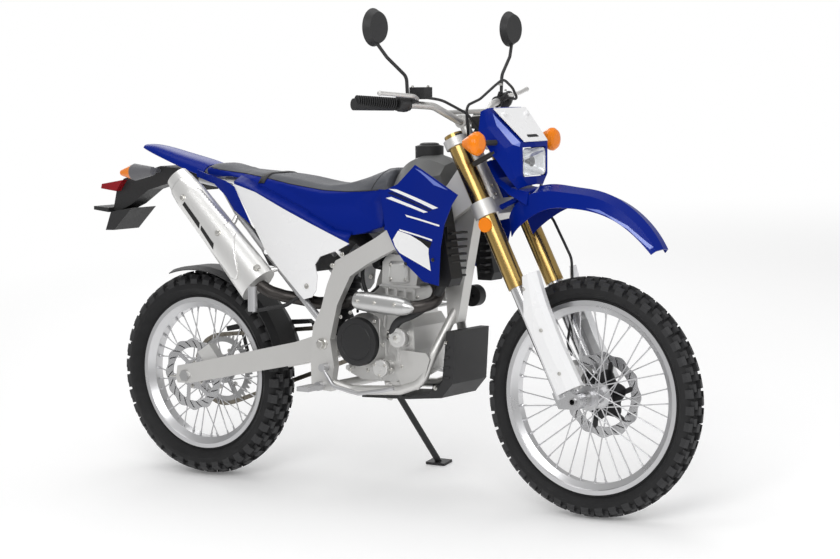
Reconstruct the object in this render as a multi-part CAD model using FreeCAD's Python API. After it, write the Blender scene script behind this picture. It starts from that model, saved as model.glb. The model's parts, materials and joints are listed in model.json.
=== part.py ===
import FreeCAD, Part
import math
import os

from FreeCAD import Vector

os.makedirs("parts", exist_ok=True)

# Dual sport motorcycle, leaning on its side stand. Each piece is drawn on the upright machine, with the
# rear axle over x = 0, +X forward, +Y to the rider's left and the floor at z = 0. The last section parks it.

# Driving sizes of the whole machine
WHEELBASE = 1420.0
RAKE_ANGLE = 26.7
FORK_OFFSET = 55.0
FORK_LENGTH = 850.0
BODY_HALF_WIDTH = 200.0
SWINGARM_OUTER_Y = 118.0
SWINGARM_WALL = 26.0
SPAR_WALL = 26.0
PARKED_LEAN = 9.0
FRONT_TYRE_RADIUS = 346.5
FRONT_TYRE_WIDTH = 86.0
REAR_TYRE_RADIUS = 324.5
REAR_TYRE_WIDTH = 122.0
FRONT_TYRE_HEIGHT = 79.8
REAR_TYRE_HEIGHT = 95.9
TREAD_CROWN = 20.0

# Clearances and walls that many pieces share
RUNNING_GAP = 0.3
UPRIGHT_share = 0.9
BEND_ROOM_share = 0.45
MITRE_share = 0.5
NUT_SIDES = 6
WHOLE_TURN = 360
SEAT_GAP = 0.3
OVERRUN = 5.0
MOULDING = 3.0

# Heights of the steering head pipe on the fork, and of the rear axle on the chassis
AXLE_HEIGHT_share = 0.3347
HEAD_LOW_share = 0.752
HEAD_HIGH_share = 0.950
HEAD_MIDDLE_share = 0.853

# Side stand: its pivot, its foot on the floor and the way it folds
STAND_RADIUS = 10.0
STAND_EYE_LENGTH = 24.0
STAND_EYE_RADIUS = 15.0
STAND_PIN_RADIUS = 5.0
STAND_FOLD_OUT_share = 0.08
STAND_PIVOT_shares = (0.600, 0.70, 0.305)
STAND_FOOT_shares = (0.652, 1.50)

FRONT_BEAD_RADIUS = FRONT_TYRE_RADIUS - FRONT_TYRE_HEIGHT
REAR_BEAD_RADIUS = REAR_TYRE_RADIUS - REAR_TYRE_HEIGHT

# Directions and the fork's own frame: forward of the steering axis, left, and up along it
rake = math.radians(RAKE_ANGLE)
UNIT = 1
FORWARD = Vector(UNIT, 0, 0)
LEFT = Vector(0, UNIT, 0)
UP = Vector(0, 0, UNIT)
FORK_FORWARD = Vector(math.cos(rake), 0, math.sin(rake))
FORK_UP = Vector(-math.sin(rake), 0, math.cos(rake))
FRONT_AXLE = Vector(WHEELBASE, 0, FRONT_TYRE_RADIUS)
REAR_AXLE = Vector(0, 0, REAR_TYRE_RADIUS)
FORK_FOOT = FRONT_AXLE - FORK_FORWARD * FORK_OFFSET


def fork_at(forward, left, up):
    """A point forward of the steering axis, to the left, and up along the axis from the axle's height."""
    return FORK_FOOT + FORK_FORWARD * forward + LEFT * left + FORK_UP * up


def on_fork(forward_share, left_share, up_share):
    """The same, as shares of the fork's length and of half the body's width."""
    return fork_at(forward_share * FORK_LENGTH, left_share * BODY_HALF_WIDTH, up_share * FORK_LENGTH)


STEERING_HEAD = on_fork(0, 0, HEAD_MIDDLE_share)
SPAN = STEERING_HEAD.x
RISE = STEERING_HEAD.z


SPAR_FLARE_share = 0.722
pivot_plate_y = SWINGARM_OUTER_Y + SEAT_GAP
frame_outer_y = pivot_plate_y + SPAR_WALL


def chassis_height(z_share):
    """The rear axle's share lies at the axle and a whole share at the steering head."""
    rise = (RISE - REAR_AXLE.z) / (1 - AXLE_HEIGHT_share)
    return REAR_AXLE.z + (z_share - AXLE_HEIGHT_share) * rise


def on_frame(x_share, left_share, z_share):
    """A point of the bodywork, as shares of the head's reach, half the body's width and the head's height."""
    return Vector(x_share * SPAN, left_share * BODY_HALF_WIDTH, chassis_height(z_share))


def on_chassis(x_share, left_share, z_share):
    """A point of the frame, whose width comes from the swingarm that it holds."""
    return Vector(x_share * SPAN, left_share * frame_outer_y / SPAR_FLARE_share, chassis_height(z_share))


# The floor tilts about the tyres' contact line by the parked lean, and the stand reaches down to it
lean = math.radians(PARKED_LEAN)
FLOOR_NORMAL = Vector(0, -math.sin(lean), math.cos(lean))
stand_pivot = on_chassis(*STAND_PIVOT_shares)
foot_y = STAND_FOOT_shares[1] * BODY_HALF_WIDTH
stand_foot = Vector(STAND_FOOT_shares[0] * SPAN, foot_y, (foot_y - TREAD_CROWN / 2) * math.tan(lean))
stand_leg = (stand_foot - stand_pivot).normalize()
stand_folded = (LEFT * STAND_FOLD_OUT_share - FORWARD).normalize()
stand_axis = stand_leg.cross(stand_folded).normalize()


# Ways to make a solid
def mirrored(shape):
    return shape.mirror(Vector(0, 0, 0), LEFT)


def both(shape):
    return Part.makeCompound([shape, mirrored(shape)])


def fused(first, *others):
    return first.multiFuse(list(others)).removeSplitter()


def closed_wire(points):
    return Part.makePolygon(list(points) + [points[0]])


def spline(points):
    curve = Part.BSplineCurve()
    curve.interpolate(list(points))
    return curve.toShape()


def closed_spline(points):
    curve = Part.BSplineCurve()
    curve.interpolate(Points=list(points), PeriodicFlag=True)
    return Part.Wire(curve.toShape())


def plate(points, along):
    """A flat outline pushed along a vector."""
    return Part.Face(closed_wire(points)).extrude(along)


def smooth_plate(points, along):
    return Part.Face(closed_spline(points)).extrude(along)


def side_plate(outline_shares, inner_y, outer_y):
    """A chassis outline seen from the side, filled from one distance left of the middle to another."""
    return plate([on_frame(x, 0, z) + LEFT * inner_y for x, z in outline_shares], LEFT * (outer_y - inner_y))


def fork_plate(outline_shares, inner_y, outer_y):
    """The same for an outline in the fork's own frame."""
    return plate([on_fork(u, 0, w) + LEFT * inner_y for u, w in outline_shares], LEFT * (outer_y - inner_y))


def rod(start, end, radius, end_radius=None):
    axis = end - start
    if end_radius is None or end_radius == radius:
        return Part.makeCylinder(radius, axis.Length, start, axis)
    return Part.makeCone(radius, end_radius, axis.Length, start, axis)


def ring(start, end, outer, inner):
    return rod(start, end, outer).cut(rod(start, end, inner))


def crossways(centre, low_y, high_y, radius):
    """A round bar across the machine."""
    return rod(centre + LEFT * low_y, centre + LEFT * high_y, radius)


def nut(centre, axis, across, thickness):
    """A hexagon whose near face is at the centre point."""
    axis = Vector(axis).normalize()
    side = axis.cross(UP if abs(axis.z) < UPRIGHT_share else FORWARD).normalize()
    other = axis.cross(side)
    corners = []
    for k in range(NUT_SIDES):
        turn = 2 * math.pi * k / NUT_SIDES
        out = side * math.cos(turn) + other * math.sin(turn)
        corners.append(centre + out * (across / (2 * math.cos(math.pi / NUT_SIDES))))
    return plate(corners, axis * thickness)


def rounded_path(points, bend):
    """Straight runs joined by tangent arcs, each of the bend radius or as large as its runs allow."""
    edges = []
    start = points[0]
    for before, corner, after in zip(points, points[1:], points[2:]):
        back = (before - corner).normalize()
        ahead = (after - corner).normalize()
        half = back.getAngle(ahead) / 2
        room = BEND_ROOM_share * min((before - corner).Length, (after - corner).Length)
        setback = min(bend / math.tan(half), room)
        radius = setback * math.tan(half)
        entry = corner + back * setback
        leave = corner + ahead * setback
        inward = (back + ahead).normalize()
        middle = corner + inward * (radius / math.sin(half) - radius)
        edges.append(Part.LineSegment(start, entry).toShape())
        edges.append(Part.Arc(entry, middle, leave).toShape())
        start = leave
    edges.append(Part.LineSegment(start, points[-1]).toShape())
    return Part.Wire(edges)


def tube(points, radius, bend, bore=None):
    """A round bar, or a pipe with a bore, along bent runs."""
    path = rounded_path(points, bend)
    aim = points[1] - points[0]
    solid = path.makePipeShell([Part.Wire(Part.makeCircle(radius, points[0], aim))], True, False)
    if bore:
        solid = solid.cut(path.makePipeShell([Part.Wire(Part.makeCircle(bore, points[0], aim))], True, False))
    return solid


def inset(line, axis, depth):
    """Points of an open line moved sideways by a depth, in the plane square to the axis."""
    moved = []
    last = len(line) - 1
    for k, point in enumerate(line):
        sides = []
        if k > 0:
            sides.append((point - line[k - 1]).normalize().cross(axis))
        if k < last:
            sides.append((line[k + 1] - point).normalize().cross(axis))
        side = sides[0] + sides[-1]
        side.normalize()
        moved.append(point + side * (depth / max(MITRE_share, side.dot(sides[0]))))
    return moved


def skin(stations, axes, thickness, smooth=True, ruled=False):
    """A thin moulding lofted through open lines of points, with its inner face set in by its thickness."""
    wires = []
    for line, axis in zip(stations, axes):
        inner = inset(line, axis, thickness)[::-1]
        if smooth:
            ends = [Part.LineSegment(line[-1], inner[0]).toShape(),
                    Part.LineSegment(inner[-1], line[0]).toShape()]
            wires.append(Part.Wire([spline(line), ends[0], spline(inner), ends[1]]))
        else:
            wires.append(closed_wire(line + inner))
    return Part.makeLoft(wires, True, ruled)


def panel(outline_shares, plan_shares, thickness, place=on_frame):
    """The right-hand one of two side panels: its outline from the side, its bulge from above, its wall."""
    heights = [z for _, z in outline_shares]
    ends = []
    for z_share in (min(heights), max(heights)):
        outer = [place(x, -y, z_share) for x, y in plan_shares]
        inner = [point + LEFT * thickness for point in outer][::-1]
        ends.append(Part.Wire([spline(outer), Part.LineSegment(outer[-1], inner[0]).toShape(),
                               spline(inner), Part.LineSegment(inner[-1], outer[0]).toShape()]))
    band = Part.makeLoft(ends, True, True)
    return band.common(side_plate(outline_shares, -2 * BODY_HALF_WIDTH - frame_outer_y, 0))


def turned(profile, centre, axis=LEFT, out=UP):
    """A ring or drum from points of radius and place along its axis."""
    face = Part.Face(closed_wire([centre + out * r + axis * a for r, a in profile]))
    return face.revolve(centre, axis, WHOLE_TURN)


nodes = {}


def keep(name, shape):
    nodes[name] = shape


# Wheels: an alloy rim on a hub, laced with crossed spokes from two flanges, and a wavy brake disc
SPOKE_RADIUS = 1.9
SPOKES = 36
SPOKE_CROSS_ANGLE = 55.0
RIM_FLANGE = 13.0
RIM_WALL = 3.0
RIM_WELL = 16.0
RIM_WELL_share = 0.55
HUB_FLANGE = 5.0
HUB_WAIST_share = 0.72
HUB_BOSS_share = 0.80
DISC_THICKNESS = 3.5
DISC_WAVES = 12
DISC_WAVE_DEPTH = 7.0
DISC_TRACK_share = 0.74
DISC_ARMS = 6
DISC_ARM_ANGLE = 9.0
DISC_ARM_SWEEP = 14.0

# Half of a tyre's section from bead to tread: share of the height over the bead, share of half the width
tyre_section_shares = ((0.46, 0.97), (0.84, 0.84))


def tyre(axle, outer_radius, bead_radius, width, rim_width):
    """Its beads sit between the rim's flanges, and its sides swell out over them."""
    height = outer_radius - bead_radius
    bead_y = rim_width / 2 - SEAT_GAP
    half = [(bead_radius, bead_y), (bead_radius + RIM_FLANGE, bead_y)]
    half += [(bead_radius + h * height, y * width / 2) for h, y in tyre_section_shares]
    half.append((outer_radius, TREAD_CROWN / 2))
    return turned(half + [(r, -y) for r, y in reversed(half)], axle)


def rim(axle, bead_radius, bead_width):
    """Two bead flanges, and between them a drop centre that takes the spokes."""
    seat = bead_radius - SEAT_GAP
    lip = seat + RIM_FLANGE
    well = seat - RIM_WELL
    edge = bead_width / 2
    low = edge * RIM_WELL_share
    half = [(well - RIM_WALL, 0), (well - RIM_WALL, low), (seat - RIM_WALL, edge), (seat, edge + RIM_WALL),
            (lip, edge + RIM_WALL), (lip, edge), (seat, edge), (well, low - RIM_WALL), (well, 0)]
    one = turned(half, axle)
    return fused(one, one.mirror(axle, LEFT))


def hub(axle, bore, body, flange, flange_y, half_width):
    boss = body * HUB_BOSS_share
    waist = body * HUB_WAIST_share
    half = [(bore, 0), (bore, half_width), (boss, half_width), (boss, flange_y + HUB_FLANGE),
            (flange, flange_y + HUB_FLANGE), (flange, flange_y), (waist, flange_y - HUB_FLANGE), (waist, 0)]
    one = turned(half, axle)
    return fused(one, one.mirror(axle, LEFT))


def spokes(axle, hub_radius, flange_y, rim_radius, rim_y):
    """Each flange sends half its spokes forward round the rim and half back, so that they cross."""
    bars = []
    for k in range(SPOKES):
        side = 1 if k % 2 else -1
        way = 1 if (k // 2) % 2 else -1
        rim_turn = 2 * math.pi * k / SPOKES
        hub_turn = rim_turn + way * math.radians(SPOKE_CROSS_ANGLE)
        hub_y = side * (flange_y + HUB_FLANGE / 2 + way * SPOKE_RADIUS)
        foot = axle + Vector(math.cos(hub_turn), 0, math.sin(hub_turn)) * hub_radius + LEFT * hub_y
        head = axle + Vector(math.cos(rim_turn), 0, math.sin(rim_turn)) * rim_radius + LEFT * (side * rim_y)
        bars.append(rod(foot, head, SPOKE_RADIUS))
    return bars


def wave_disc(axle, near_y, radius, boss_radius, bore):
    """A brake track with a wavy rim, carried on swept arms by a ring that seats on the hub."""
    rim_points = []
    for k in range(4 * DISC_WAVES):
        turn = 2 * math.pi * k / (4 * DISC_WAVES)
        reach = radius - DISC_WAVE_DEPTH * (1 - math.cos(DISC_WAVES * turn)) / 2
        rim_points.append(axle + Vector(math.cos(turn), 0, math.sin(turn)) * reach + LEFT * near_y)
    track_inner = radius * DISC_TRACK_share
    disc = smooth_plate(rim_points, LEFT * DISC_THICKNESS)
    disc = disc.cut(crossways(axle, near_y - OVERRUN, near_y + DISC_THICKNESS + OVERRUN, track_inner))
    pieces = [ring(axle + LEFT * near_y, axle + LEFT * (near_y + DISC_THICKNESS), boss_radius, bore)]
    half_arm = math.radians(DISC_ARM_ANGLE)
    for k in range(DISC_ARMS):
        foot_turn = 2 * math.pi * k / DISC_ARMS
        head_turn = foot_turn + math.radians(DISC_ARM_SWEEP)
        corners = []
        for turn, reach in ((foot_turn - half_arm, boss_radius - DISC_THICKNESS),
                            (foot_turn + half_arm, boss_radius - DISC_THICKNESS),
                            (head_turn + half_arm / 2, track_inner + DISC_THICKNESS),
                            (head_turn - half_arm / 2, track_inner + DISC_THICKNESS)):
            corners.append(axle + Vector(math.cos(turn), 0, math.sin(turn)) * reach + LEFT * near_y)
        pieces.append(plate(corners, LEFT * DISC_THICKNESS))
    return fused(disc, *pieces)


# Front wheel sizes
FRONT_HUB_RADIUS = 30.0
FRONT_FLANGE_RADIUS = 36.0
FRONT_FLANGE_Y = 30.0
FRONT_HUB_HALF_WIDTH = 50.0
FRONT_RIM_WIDTH = 46.0
FRONT_AXLE_RADIUS = 12.0
FRONT_AXLE_BORE = 8.0
FRONT_DISC_RADIUS = 125.0
FRONT_DISC_BOSS = 44.0

# Rear wheel sizes
REAR_HUB_RADIUS = 34.0
REAR_FLANGE_RADIUS = 42.0
REAR_FLANGE_Y = 36.0
REAR_HUB_HALF_WIDTH = 74.0
REAR_RIM_WIDTH = 62.0
REAR_AXLE_RADIUS = 10.0
REAR_DISC_RADIUS = 115.0
REAR_DISC_BOSS = 46.0
SPROCKET_TEETH = 44
FRONT_SPROCKET_TEETH = 13
CHAIN_PITCH = 15.875
CHAIN_HEIGHT = 14.0
CHAIN_WIDTH = 14.0
SPROCKET_THICKNESS = 6.0
SPROCKET_ARMS = 6

chain_y = REAR_HUB_HALF_WIDTH + SPROCKET_THICKNESS / 2
sprocket_pitch_radius = CHAIN_PITCH / (2 * math.sin(math.pi / SPROCKET_TEETH))
front_sprocket_pitch_radius = CHAIN_PITCH / (2 * math.sin(math.pi / FRONT_SPROCKET_TEETH))
front_disc_y = FRONT_HUB_HALF_WIDTH
rear_disc_y = -REAR_HUB_HALF_WIDTH - DISC_THICKNESS


def front_wheel():
    keep("front_tyre", tyre(FRONT_AXLE, FRONT_TYRE_RADIUS, FRONT_BEAD_RADIUS, FRONT_TYRE_WIDTH,
                            FRONT_RIM_WIDTH))
    keep("front_rim", rim(FRONT_AXLE, FRONT_BEAD_RADIUS, FRONT_RIM_WIDTH))
    bore = FRONT_AXLE_RADIUS + RUNNING_GAP
    drum = hub(FRONT_AXLE, bore, FRONT_HUB_RADIUS, FRONT_FLANGE_RADIUS, FRONT_FLANGE_Y, FRONT_HUB_HALF_WIDTH)
    nipple_radius = FRONT_BEAD_RADIUS - SEAT_GAP - RIM_WELL - RIM_WALL / 2
    foot_radius = FRONT_FLANGE_RADIUS - 2 * SPOKE_RADIUS
    laces = spokes(FRONT_AXLE, foot_radius, FRONT_FLANGE_Y, nipple_radius, SPOKE_RADIUS)
    keep("front_hub", fused(drum, *laces).cut(nodes["front_rim"]))
    keep("front_disc", wave_disc(FRONT_AXLE, front_disc_y, FRONT_DISC_RADIUS, FRONT_DISC_BOSS, bore))


def rear_wheel():
    keep("rear_tyre", tyre(REAR_AXLE, REAR_TYRE_RADIUS, REAR_BEAD_RADIUS, REAR_TYRE_WIDTH,
                           REAR_RIM_WIDTH))
    keep("rear_rim", rim(REAR_AXLE, REAR_BEAD_RADIUS, REAR_RIM_WIDTH))
    bore = REAR_AXLE_RADIUS + RUNNING_GAP
    drum = hub(REAR_AXLE, bore, REAR_HUB_RADIUS, REAR_FLANGE_RADIUS, REAR_FLANGE_Y, REAR_HUB_HALF_WIDTH)
    nipple_radius = REAR_BEAD_RADIUS - SEAT_GAP - RIM_WELL - RIM_WALL / 2
    foot_radius = REAR_FLANGE_RADIUS - 2 * SPOKE_RADIUS
    laces = spokes(REAR_AXLE, foot_radius, REAR_FLANGE_Y, nipple_radius, SPOKE_RADIUS)
    keep("rear_hub", fused(drum, *laces).cut(nodes["rear_rim"]))
    keep("rear_disc", wave_disc(REAR_AXLE, rear_disc_y, REAR_DISC_RADIUS, REAR_DISC_BOSS, bore))


def rear_sprocket():
    """An open sprocket on the left end of the hub."""
    near = REAR_AXLE + LEFT * REAR_HUB_HALF_WIDTH
    far = near + LEFT * SPROCKET_THICKNESS
    outer = sprocket_pitch_radius - CHAIN_HEIGHT / 2 - RUNNING_GAP
    inner = outer - CHAIN_PITCH
    track = ring(near, far, outer, inner)
    boss = ring(near, far, REAR_DISC_BOSS, REAR_AXLE_RADIUS + RUNNING_GAP)
    arms = []
    for k in range(SPROCKET_ARMS):
        turn = 2 * math.pi * k / SPROCKET_ARMS
        out = Vector(math.cos(turn), 0, math.sin(turn))
        across = out.cross(LEFT) * (CHAIN_PITCH / 2)
        foot = near + out * (REAR_DISC_BOSS - OVERRUN)
        head = near + out * (inner + OVERRUN)
        corners = [foot - across, foot + across, head + across, head - across]
        arms.append(plate(corners, LEFT * SPROCKET_THICKNESS))
    keep("rear_sprocket", fused(track, boss, *arms))


front_wheel()
rear_wheel()
rear_sprocket()

# Frame: two aluminium spars from the head to the swing pivot, a downtube and a split cradle
HEAD_PIPE_RADIUS = 31.0
STEM_RADIUS = 15.0
DOWNTUBE_WIDTH = 44.0
CRADLE_RADIUS = 14.0
CRADLE_BEND = 60.0
CROSS_TUBE_RADIUS = 16.0
PIVOT_TUBE_RADIUS = 18.0
PIVOT_BOLT_RADIUS = 9.0
PIVOT_PLATE = 22.0
ENGINE_HALF_WIDTH = 90.0
FRONT_SPROCKET_share = (0.622, 0.490)
SWING_PIVOT_share = (0.538, 0.4765)

swing_pivot = on_frame(SWING_PIVOT_share[0], 0, SWING_PIVOT_share[1])

spar_outline_shares = ((0.965, 1.045), (0.925, 0.975), (0.85, 0.905), (0.716, 0.809), (0.642, 0.766),
                       (0.589, 0.738), (0.556, 0.66), (0.535, 0.589), (0.505, 0.53), (0.495, 0.44),
                       (0.497, 0.335), (0.565, 0.330), (0.578, 0.41), (0.565, 0.492), (0.591, 0.600),
                       (0.636, 0.691), (0.693, 0.731), (0.800, 0.790), (0.93, 0.865), (1.0, 0.925))
spar_plan_shares = ((1.03, 0.14), (0.95, 0.28), (0.90, 0.40), (0.85, 0.51), (0.75, 0.64), (0.65, 0.70),
                    (0.57, 0.722), (0.48, 0.722))
downtube_shares = ((0.985, 0.985), (1.012, 0.925), (0.989, 0.883), (0.967, 0.768), (0.945, 0.652),
                   (0.927, 0.555), (0.894, 0.545), (0.888, 0.658), (0.918, 0.843), (0.950, 0.920))
cradle_shares = ((0.912, 0.05, 0.59), (0.900, 0.22, 0.53), (0.878, 0.40, 0.455), (0.852, 0.48, 0.372),
                 (0.78, 0.50, 0.345), (0.62, 0.55, 0.335), (0.545, 0.655, 0.36), (0.535, 0.655, 0.43))
lower_cross_shares = (0.56, 0.345)
GUSSET_WALL = 5.0
GUSSET_Y = 104.0
gusset_shares = ((0.762, 0.410), (0.770, 0.447), (0.790, 0.470), (0.872, 0.465), (0.884, 0.447),
                 (0.868, 0.395), (0.845, 0.352), (0.794, 0.345))
stand_mount_shares = (0.600, 0.50, 0.336)
upper_cross_shares = (0.580, 0.722)


def main_frame():
    spar = panel(spar_outline_shares, spar_plan_shares, SPAR_WALL, on_chassis)
    head_low = on_fork(0, 0, HEAD_LOW_share)
    head_high = on_fork(0, 0, HEAD_HIGH_share)
    head_pipe = rod(head_low, head_high, HEAD_PIPE_RADIUS)
    downtube = side_plate(downtube_shares, -DOWNTUBE_WIDTH / 2, DOWNTUBE_WIDTH / 2)
    cradle = tube([on_chassis(*p) for p in cradle_shares], CRADLE_RADIUS, CRADLE_BEND)
    upper = on_frame(upper_cross_shares[0], 0, upper_cross_shares[1])
    lower = on_frame(lower_cross_shares[0], 0, lower_cross_shares[1])
    upper_cross = crossways(upper, -pivot_plate_y, pivot_plate_y, CROSS_TUBE_RADIUS)
    lower_cross = crossways(lower, -pivot_plate_y, pivot_plate_y, CRADLE_RADIUS)
    gusset = side_plate(gusset_shares, -GUSSET_Y, GUSSET_WALL - GUSSET_Y)
    frame = fused(spar, mirrored(spar), head_pipe, downtube, cradle, mirrored(cradle), gusset, upper_cross,
                  lower_cross)
    beyond = FORK_UP * OVERRUN
    frame = frame.cut(rod(head_low - beyond, head_high + beyond, STEM_RADIUS + RUNNING_GAP))
    reach = pivot_plate_y + PIVOT_PLATE + OVERRUN
    frame = frame.cut(crossways(swing_pivot, -reach, reach, PIVOT_BOLT_RADIUS + SEAT_GAP))
    seat_of_eye = stand_pivot - stand_axis * (STAND_EYE_LENGTH / 2 + RUNNING_GAP)
    back = seat_of_eye - stand_axis * STAND_EYE_RADIUS
    far = stand_pivot + stand_axis * (STAND_EYE_LENGTH / 2 + RUNNING_GAP)
    bracket = fused(rod(on_chassis(*stand_mount_shares), back, STAND_RADIUS),
                    rod(back - stand_axis * STAND_RADIUS, seat_of_eye, STAND_EYE_RADIUS),
                    rod(back, far + stand_axis * STAND_PIN_RADIUS, STAND_PIN_RADIUS),
                    rod(far, far + stand_axis * STAND_PIN_RADIUS, STAND_RADIUS))
    frame = fused(frame, bracket)
    keep("main_frame", frame)


main_frame()


# Chain: one closed loop round the rear sprocket and the gearbox sprocket
front_sprocket_centre = on_frame(FRONT_SPROCKET_share[0], 0, FRONT_SPROCKET_share[1])


def chain_loop(offset):
    """The outline of the chain round both sprockets, moved out from its pitch line by an offset."""
    big = sprocket_pitch_radius + offset
    small = front_sprocket_pitch_radius + offset
    line = front_sprocket_centre - REAR_AXLE
    tilt = math.atan2(line.z, line.x)
    splay = math.acos((big - small) / line.Length)

    def at(centre, radius, turn):
        return centre + Vector(math.cos(turn), 0, math.sin(turn)) * radius

    big_top, big_low = at(REAR_AXLE, big, tilt + splay), at(REAR_AXLE, big, tilt - splay)
    small_top = at(front_sprocket_centre, small, tilt + splay)
    small_low = at(front_sprocket_centre, small, tilt - splay)
    edges = [Part.LineSegment(big_top, small_top),
             Part.Arc(small_top, at(front_sprocket_centre, small, tilt), small_low),
             Part.LineSegment(small_low, big_low),
             Part.Arc(big_low, at(REAR_AXLE, big, tilt + math.pi), big_top)]
    return Part.Wire([edge.toShape() for edge in edges])

# Swingarm, rear axle and shock
AXLE_OVERHANG = 8.0
SPACER_RADIUS = 16.0
SHOCK_BODY_RADIUS = 22.0
SPRING_RADIUS = 34.0
SPRING_WIRE = 6.0
SPRING_TURNS = 6
SPRING_SEAT = 46.0
SHOCK_ROD_RADIUS = 7.0

swingarm_shares = ((-0.036, 0.325), (-0.030, 0.366), (0.020, 0.376), (0.420, 0.472), (0.500, 0.500),
                   (0.548, 0.502), (0.562, 0.4765), (0.552, 0.448), (0.470, 0.415), (0.420, 0.400),
                   (0.020, 0.312), (-0.030, 0.310))
# The bridge between the arms, as shares of the way from the tyre's front to the pivot
swingarm_bridge_shares = ((0.24, 0.425), (0.39, 0.434), (0.53, 0.426), (0.75, 0.436), (0.75, 0.418),
                          (0.53, 0.400), (0.28, 0.386))
shock_low_share = (0.466, 0.428)
shock_high_share = (0.548, 0.700)


def swingarm():
    inner = SWINGARM_OUTER_Y - SWINGARM_WALL
    arm = side_plate(swingarm_shares, inner, SWINGARM_OUTER_Y)
    corners = []
    for way_share, z_share in swingarm_bridge_shares:
        x = REAR_TYRE_RADIUS + way_share * (swing_pivot.x - REAR_TYRE_RADIUS)
        corners.append(Vector(x, -inner, chassis_height(z_share)))
    bridge = plate(corners, LEFT * (2 * inner))
    pivot = crossways(swing_pivot, -inner, inner, PIVOT_TUBE_RADIUS)
    reach = pivot_plate_y + PIVOT_PLATE
    bolt = crossways(swing_pivot, -reach, reach, PIVOT_BOLT_RADIUS)
    arms = fused(arm, mirrored(arm), bridge, pivot, bolt)
    keep("swingarm", arms.cut(crossways(REAR_AXLE, -reach, reach, REAR_AXLE_RADIUS)))


def rear_axle():
    inner = SWINGARM_OUTER_Y - SWINGARM_WALL
    end = SWINGARM_OUTER_Y + AXLE_OVERHANG
    shaft = crossways(REAR_AXLE, -end, end, REAR_AXLE_RADIUS)
    sprocket_face = REAR_HUB_HALF_WIDTH + SPROCKET_THICKNESS
    left_spacer = crossways(REAR_AXLE, sprocket_face + RUNNING_GAP, inner, SPACER_RADIUS)
    right_spacer = crossways(REAR_AXLE, -inner, rear_disc_y - RUNNING_GAP, SPACER_RADIUS)
    head = nut(REAR_AXLE + LEFT * SWINGARM_OUTER_Y, LEFT, 2 * SPACER_RADIUS, AXLE_OVERHANG)
    keep("rear_axle", fused(shaft, left_spacer, right_spacer, head, mirrored(head)))


def rear_shock():
    """A damper between the swingarm's linkage and the frame's upper cross tube, in a coil spring."""
    low = on_frame(shock_low_share[0], 0, shock_low_share[1])
    high = on_frame(shock_high_share[0], 0, shock_high_share[1])
    axis = (high - low).normalize()
    length = (high - low).Length
    body = rod(low + axis * (length / 2), high, SHOCK_BODY_RADIUS)
    stem = rod(low, low + axis * (length / 2), SHOCK_ROD_RADIUS)
    cup_radius = SPRING_RADIUS + SPRING_WIRE
    lower_cup = rod(low + axis * SPRING_SEAT, low + axis * (SPRING_SEAT + SPRING_WIRE), cup_radius)
    upper_cup = rod(high - axis * SPRING_RADIUS, high - axis * (SPRING_RADIUS - SPRING_WIRE), cup_radius)
    start = SPRING_SEAT + SPRING_WIRE
    pitch = (length - start - SPRING_RADIUS) / SPRING_TURNS
    ridges = [(0, start)]
    for k in range(SPRING_TURNS):
        ridges.append((SPRING_RADIUS - SPRING_WIRE, start + pitch * k))
        ridges.append((SPRING_RADIUS + SPRING_WIRE, start + pitch * (2 * k + 1) / 2))
    ridges += [(SPRING_RADIUS - SPRING_WIRE, start + pitch * SPRING_TURNS), (0, start + pitch * SPRING_TURNS)]
    spring = turned(ridges, low, axis, LEFT)
    damper = fused(body, stem, lower_cup, upper_cup, spring).cut(nodes["swingarm"]).cut(nodes["main_frame"])
    keep("rear_shock", max(damper.Solids, key=lambda solid: solid.Volume))


swingarm()
rear_axle()
rear_shock()

# Engine: crankcase, its two round covers, cylinder and head, and the intake
CLUTCH_COVER_RADIUS = 73.0
CLUTCH_COVER_DEPTH = 18.0
CLUTCH_BOSS_DEPTH = 36.0
GENERATOR_COVER_RADIUS = 66.0
CYLINDER_HALF_WIDTH = 68.0
HEAD_HALF_WIDTH = 78.0
BOOT_RADIUS = 24.0
BOOT_BEND = 72.0
AIRBOX_HALF_WIDTH = 82.0
ENGINE_BOLT_RADIUS = 8.0

crankcase_shares = ((0.600, 0.555), (0.640, 0.572), (0.700, 0.580), (0.800, 0.572), (0.822, 0.540),
                    (0.824, 0.470), (0.815, 0.400), (0.760, 0.368), (0.640, 0.368), (0.600, 0.385),
                    (0.590, 0.430), (0.588, 0.500))
cylinder_shares = ((0.704, 0.580), (0.800, 0.572), (0.812, 0.645), (0.712, 0.655))
head_shares = ((0.704, 0.655), (0.820, 0.643), (0.832, 0.720), (0.812, 0.752), (0.730, 0.762), (0.708, 0.735))
airbox_shares = ((0.262, 0.922), (0.245, 0.800), (0.300, 0.705), (0.450, 0.690), (0.480, 0.745),
                 (0.520, 0.790), (0.540, 0.820), (0.478, 0.848), (0.289, 0.916))
clutch_centre_shares = (0.657, 0.490)
generator_centre_shares = (0.730, 0.478)
engine_bolt_shares = ((0.609, 0.405), (0.609, 0.546))
WATER_PUMP_RADIUS = 30.0
WATER_PUMP_DEPTH = 16.0
OIL_FILTER_RADIUS = 27.0
RIDGE_WIDTH = 12.0
water_pump_shares = (0.792, 0.505)
oil_filter_shares = (0.732, 0.412)
case_ridge_shares = ((0.724, 0.572), (0.720, 0.525), (0.715, 0.451), (0.706, 0.375))
boot_shares = ((0.712, 0.700), (0.640, 0.745), (0.575, 0.805), (0.525, 0.815))


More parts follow.
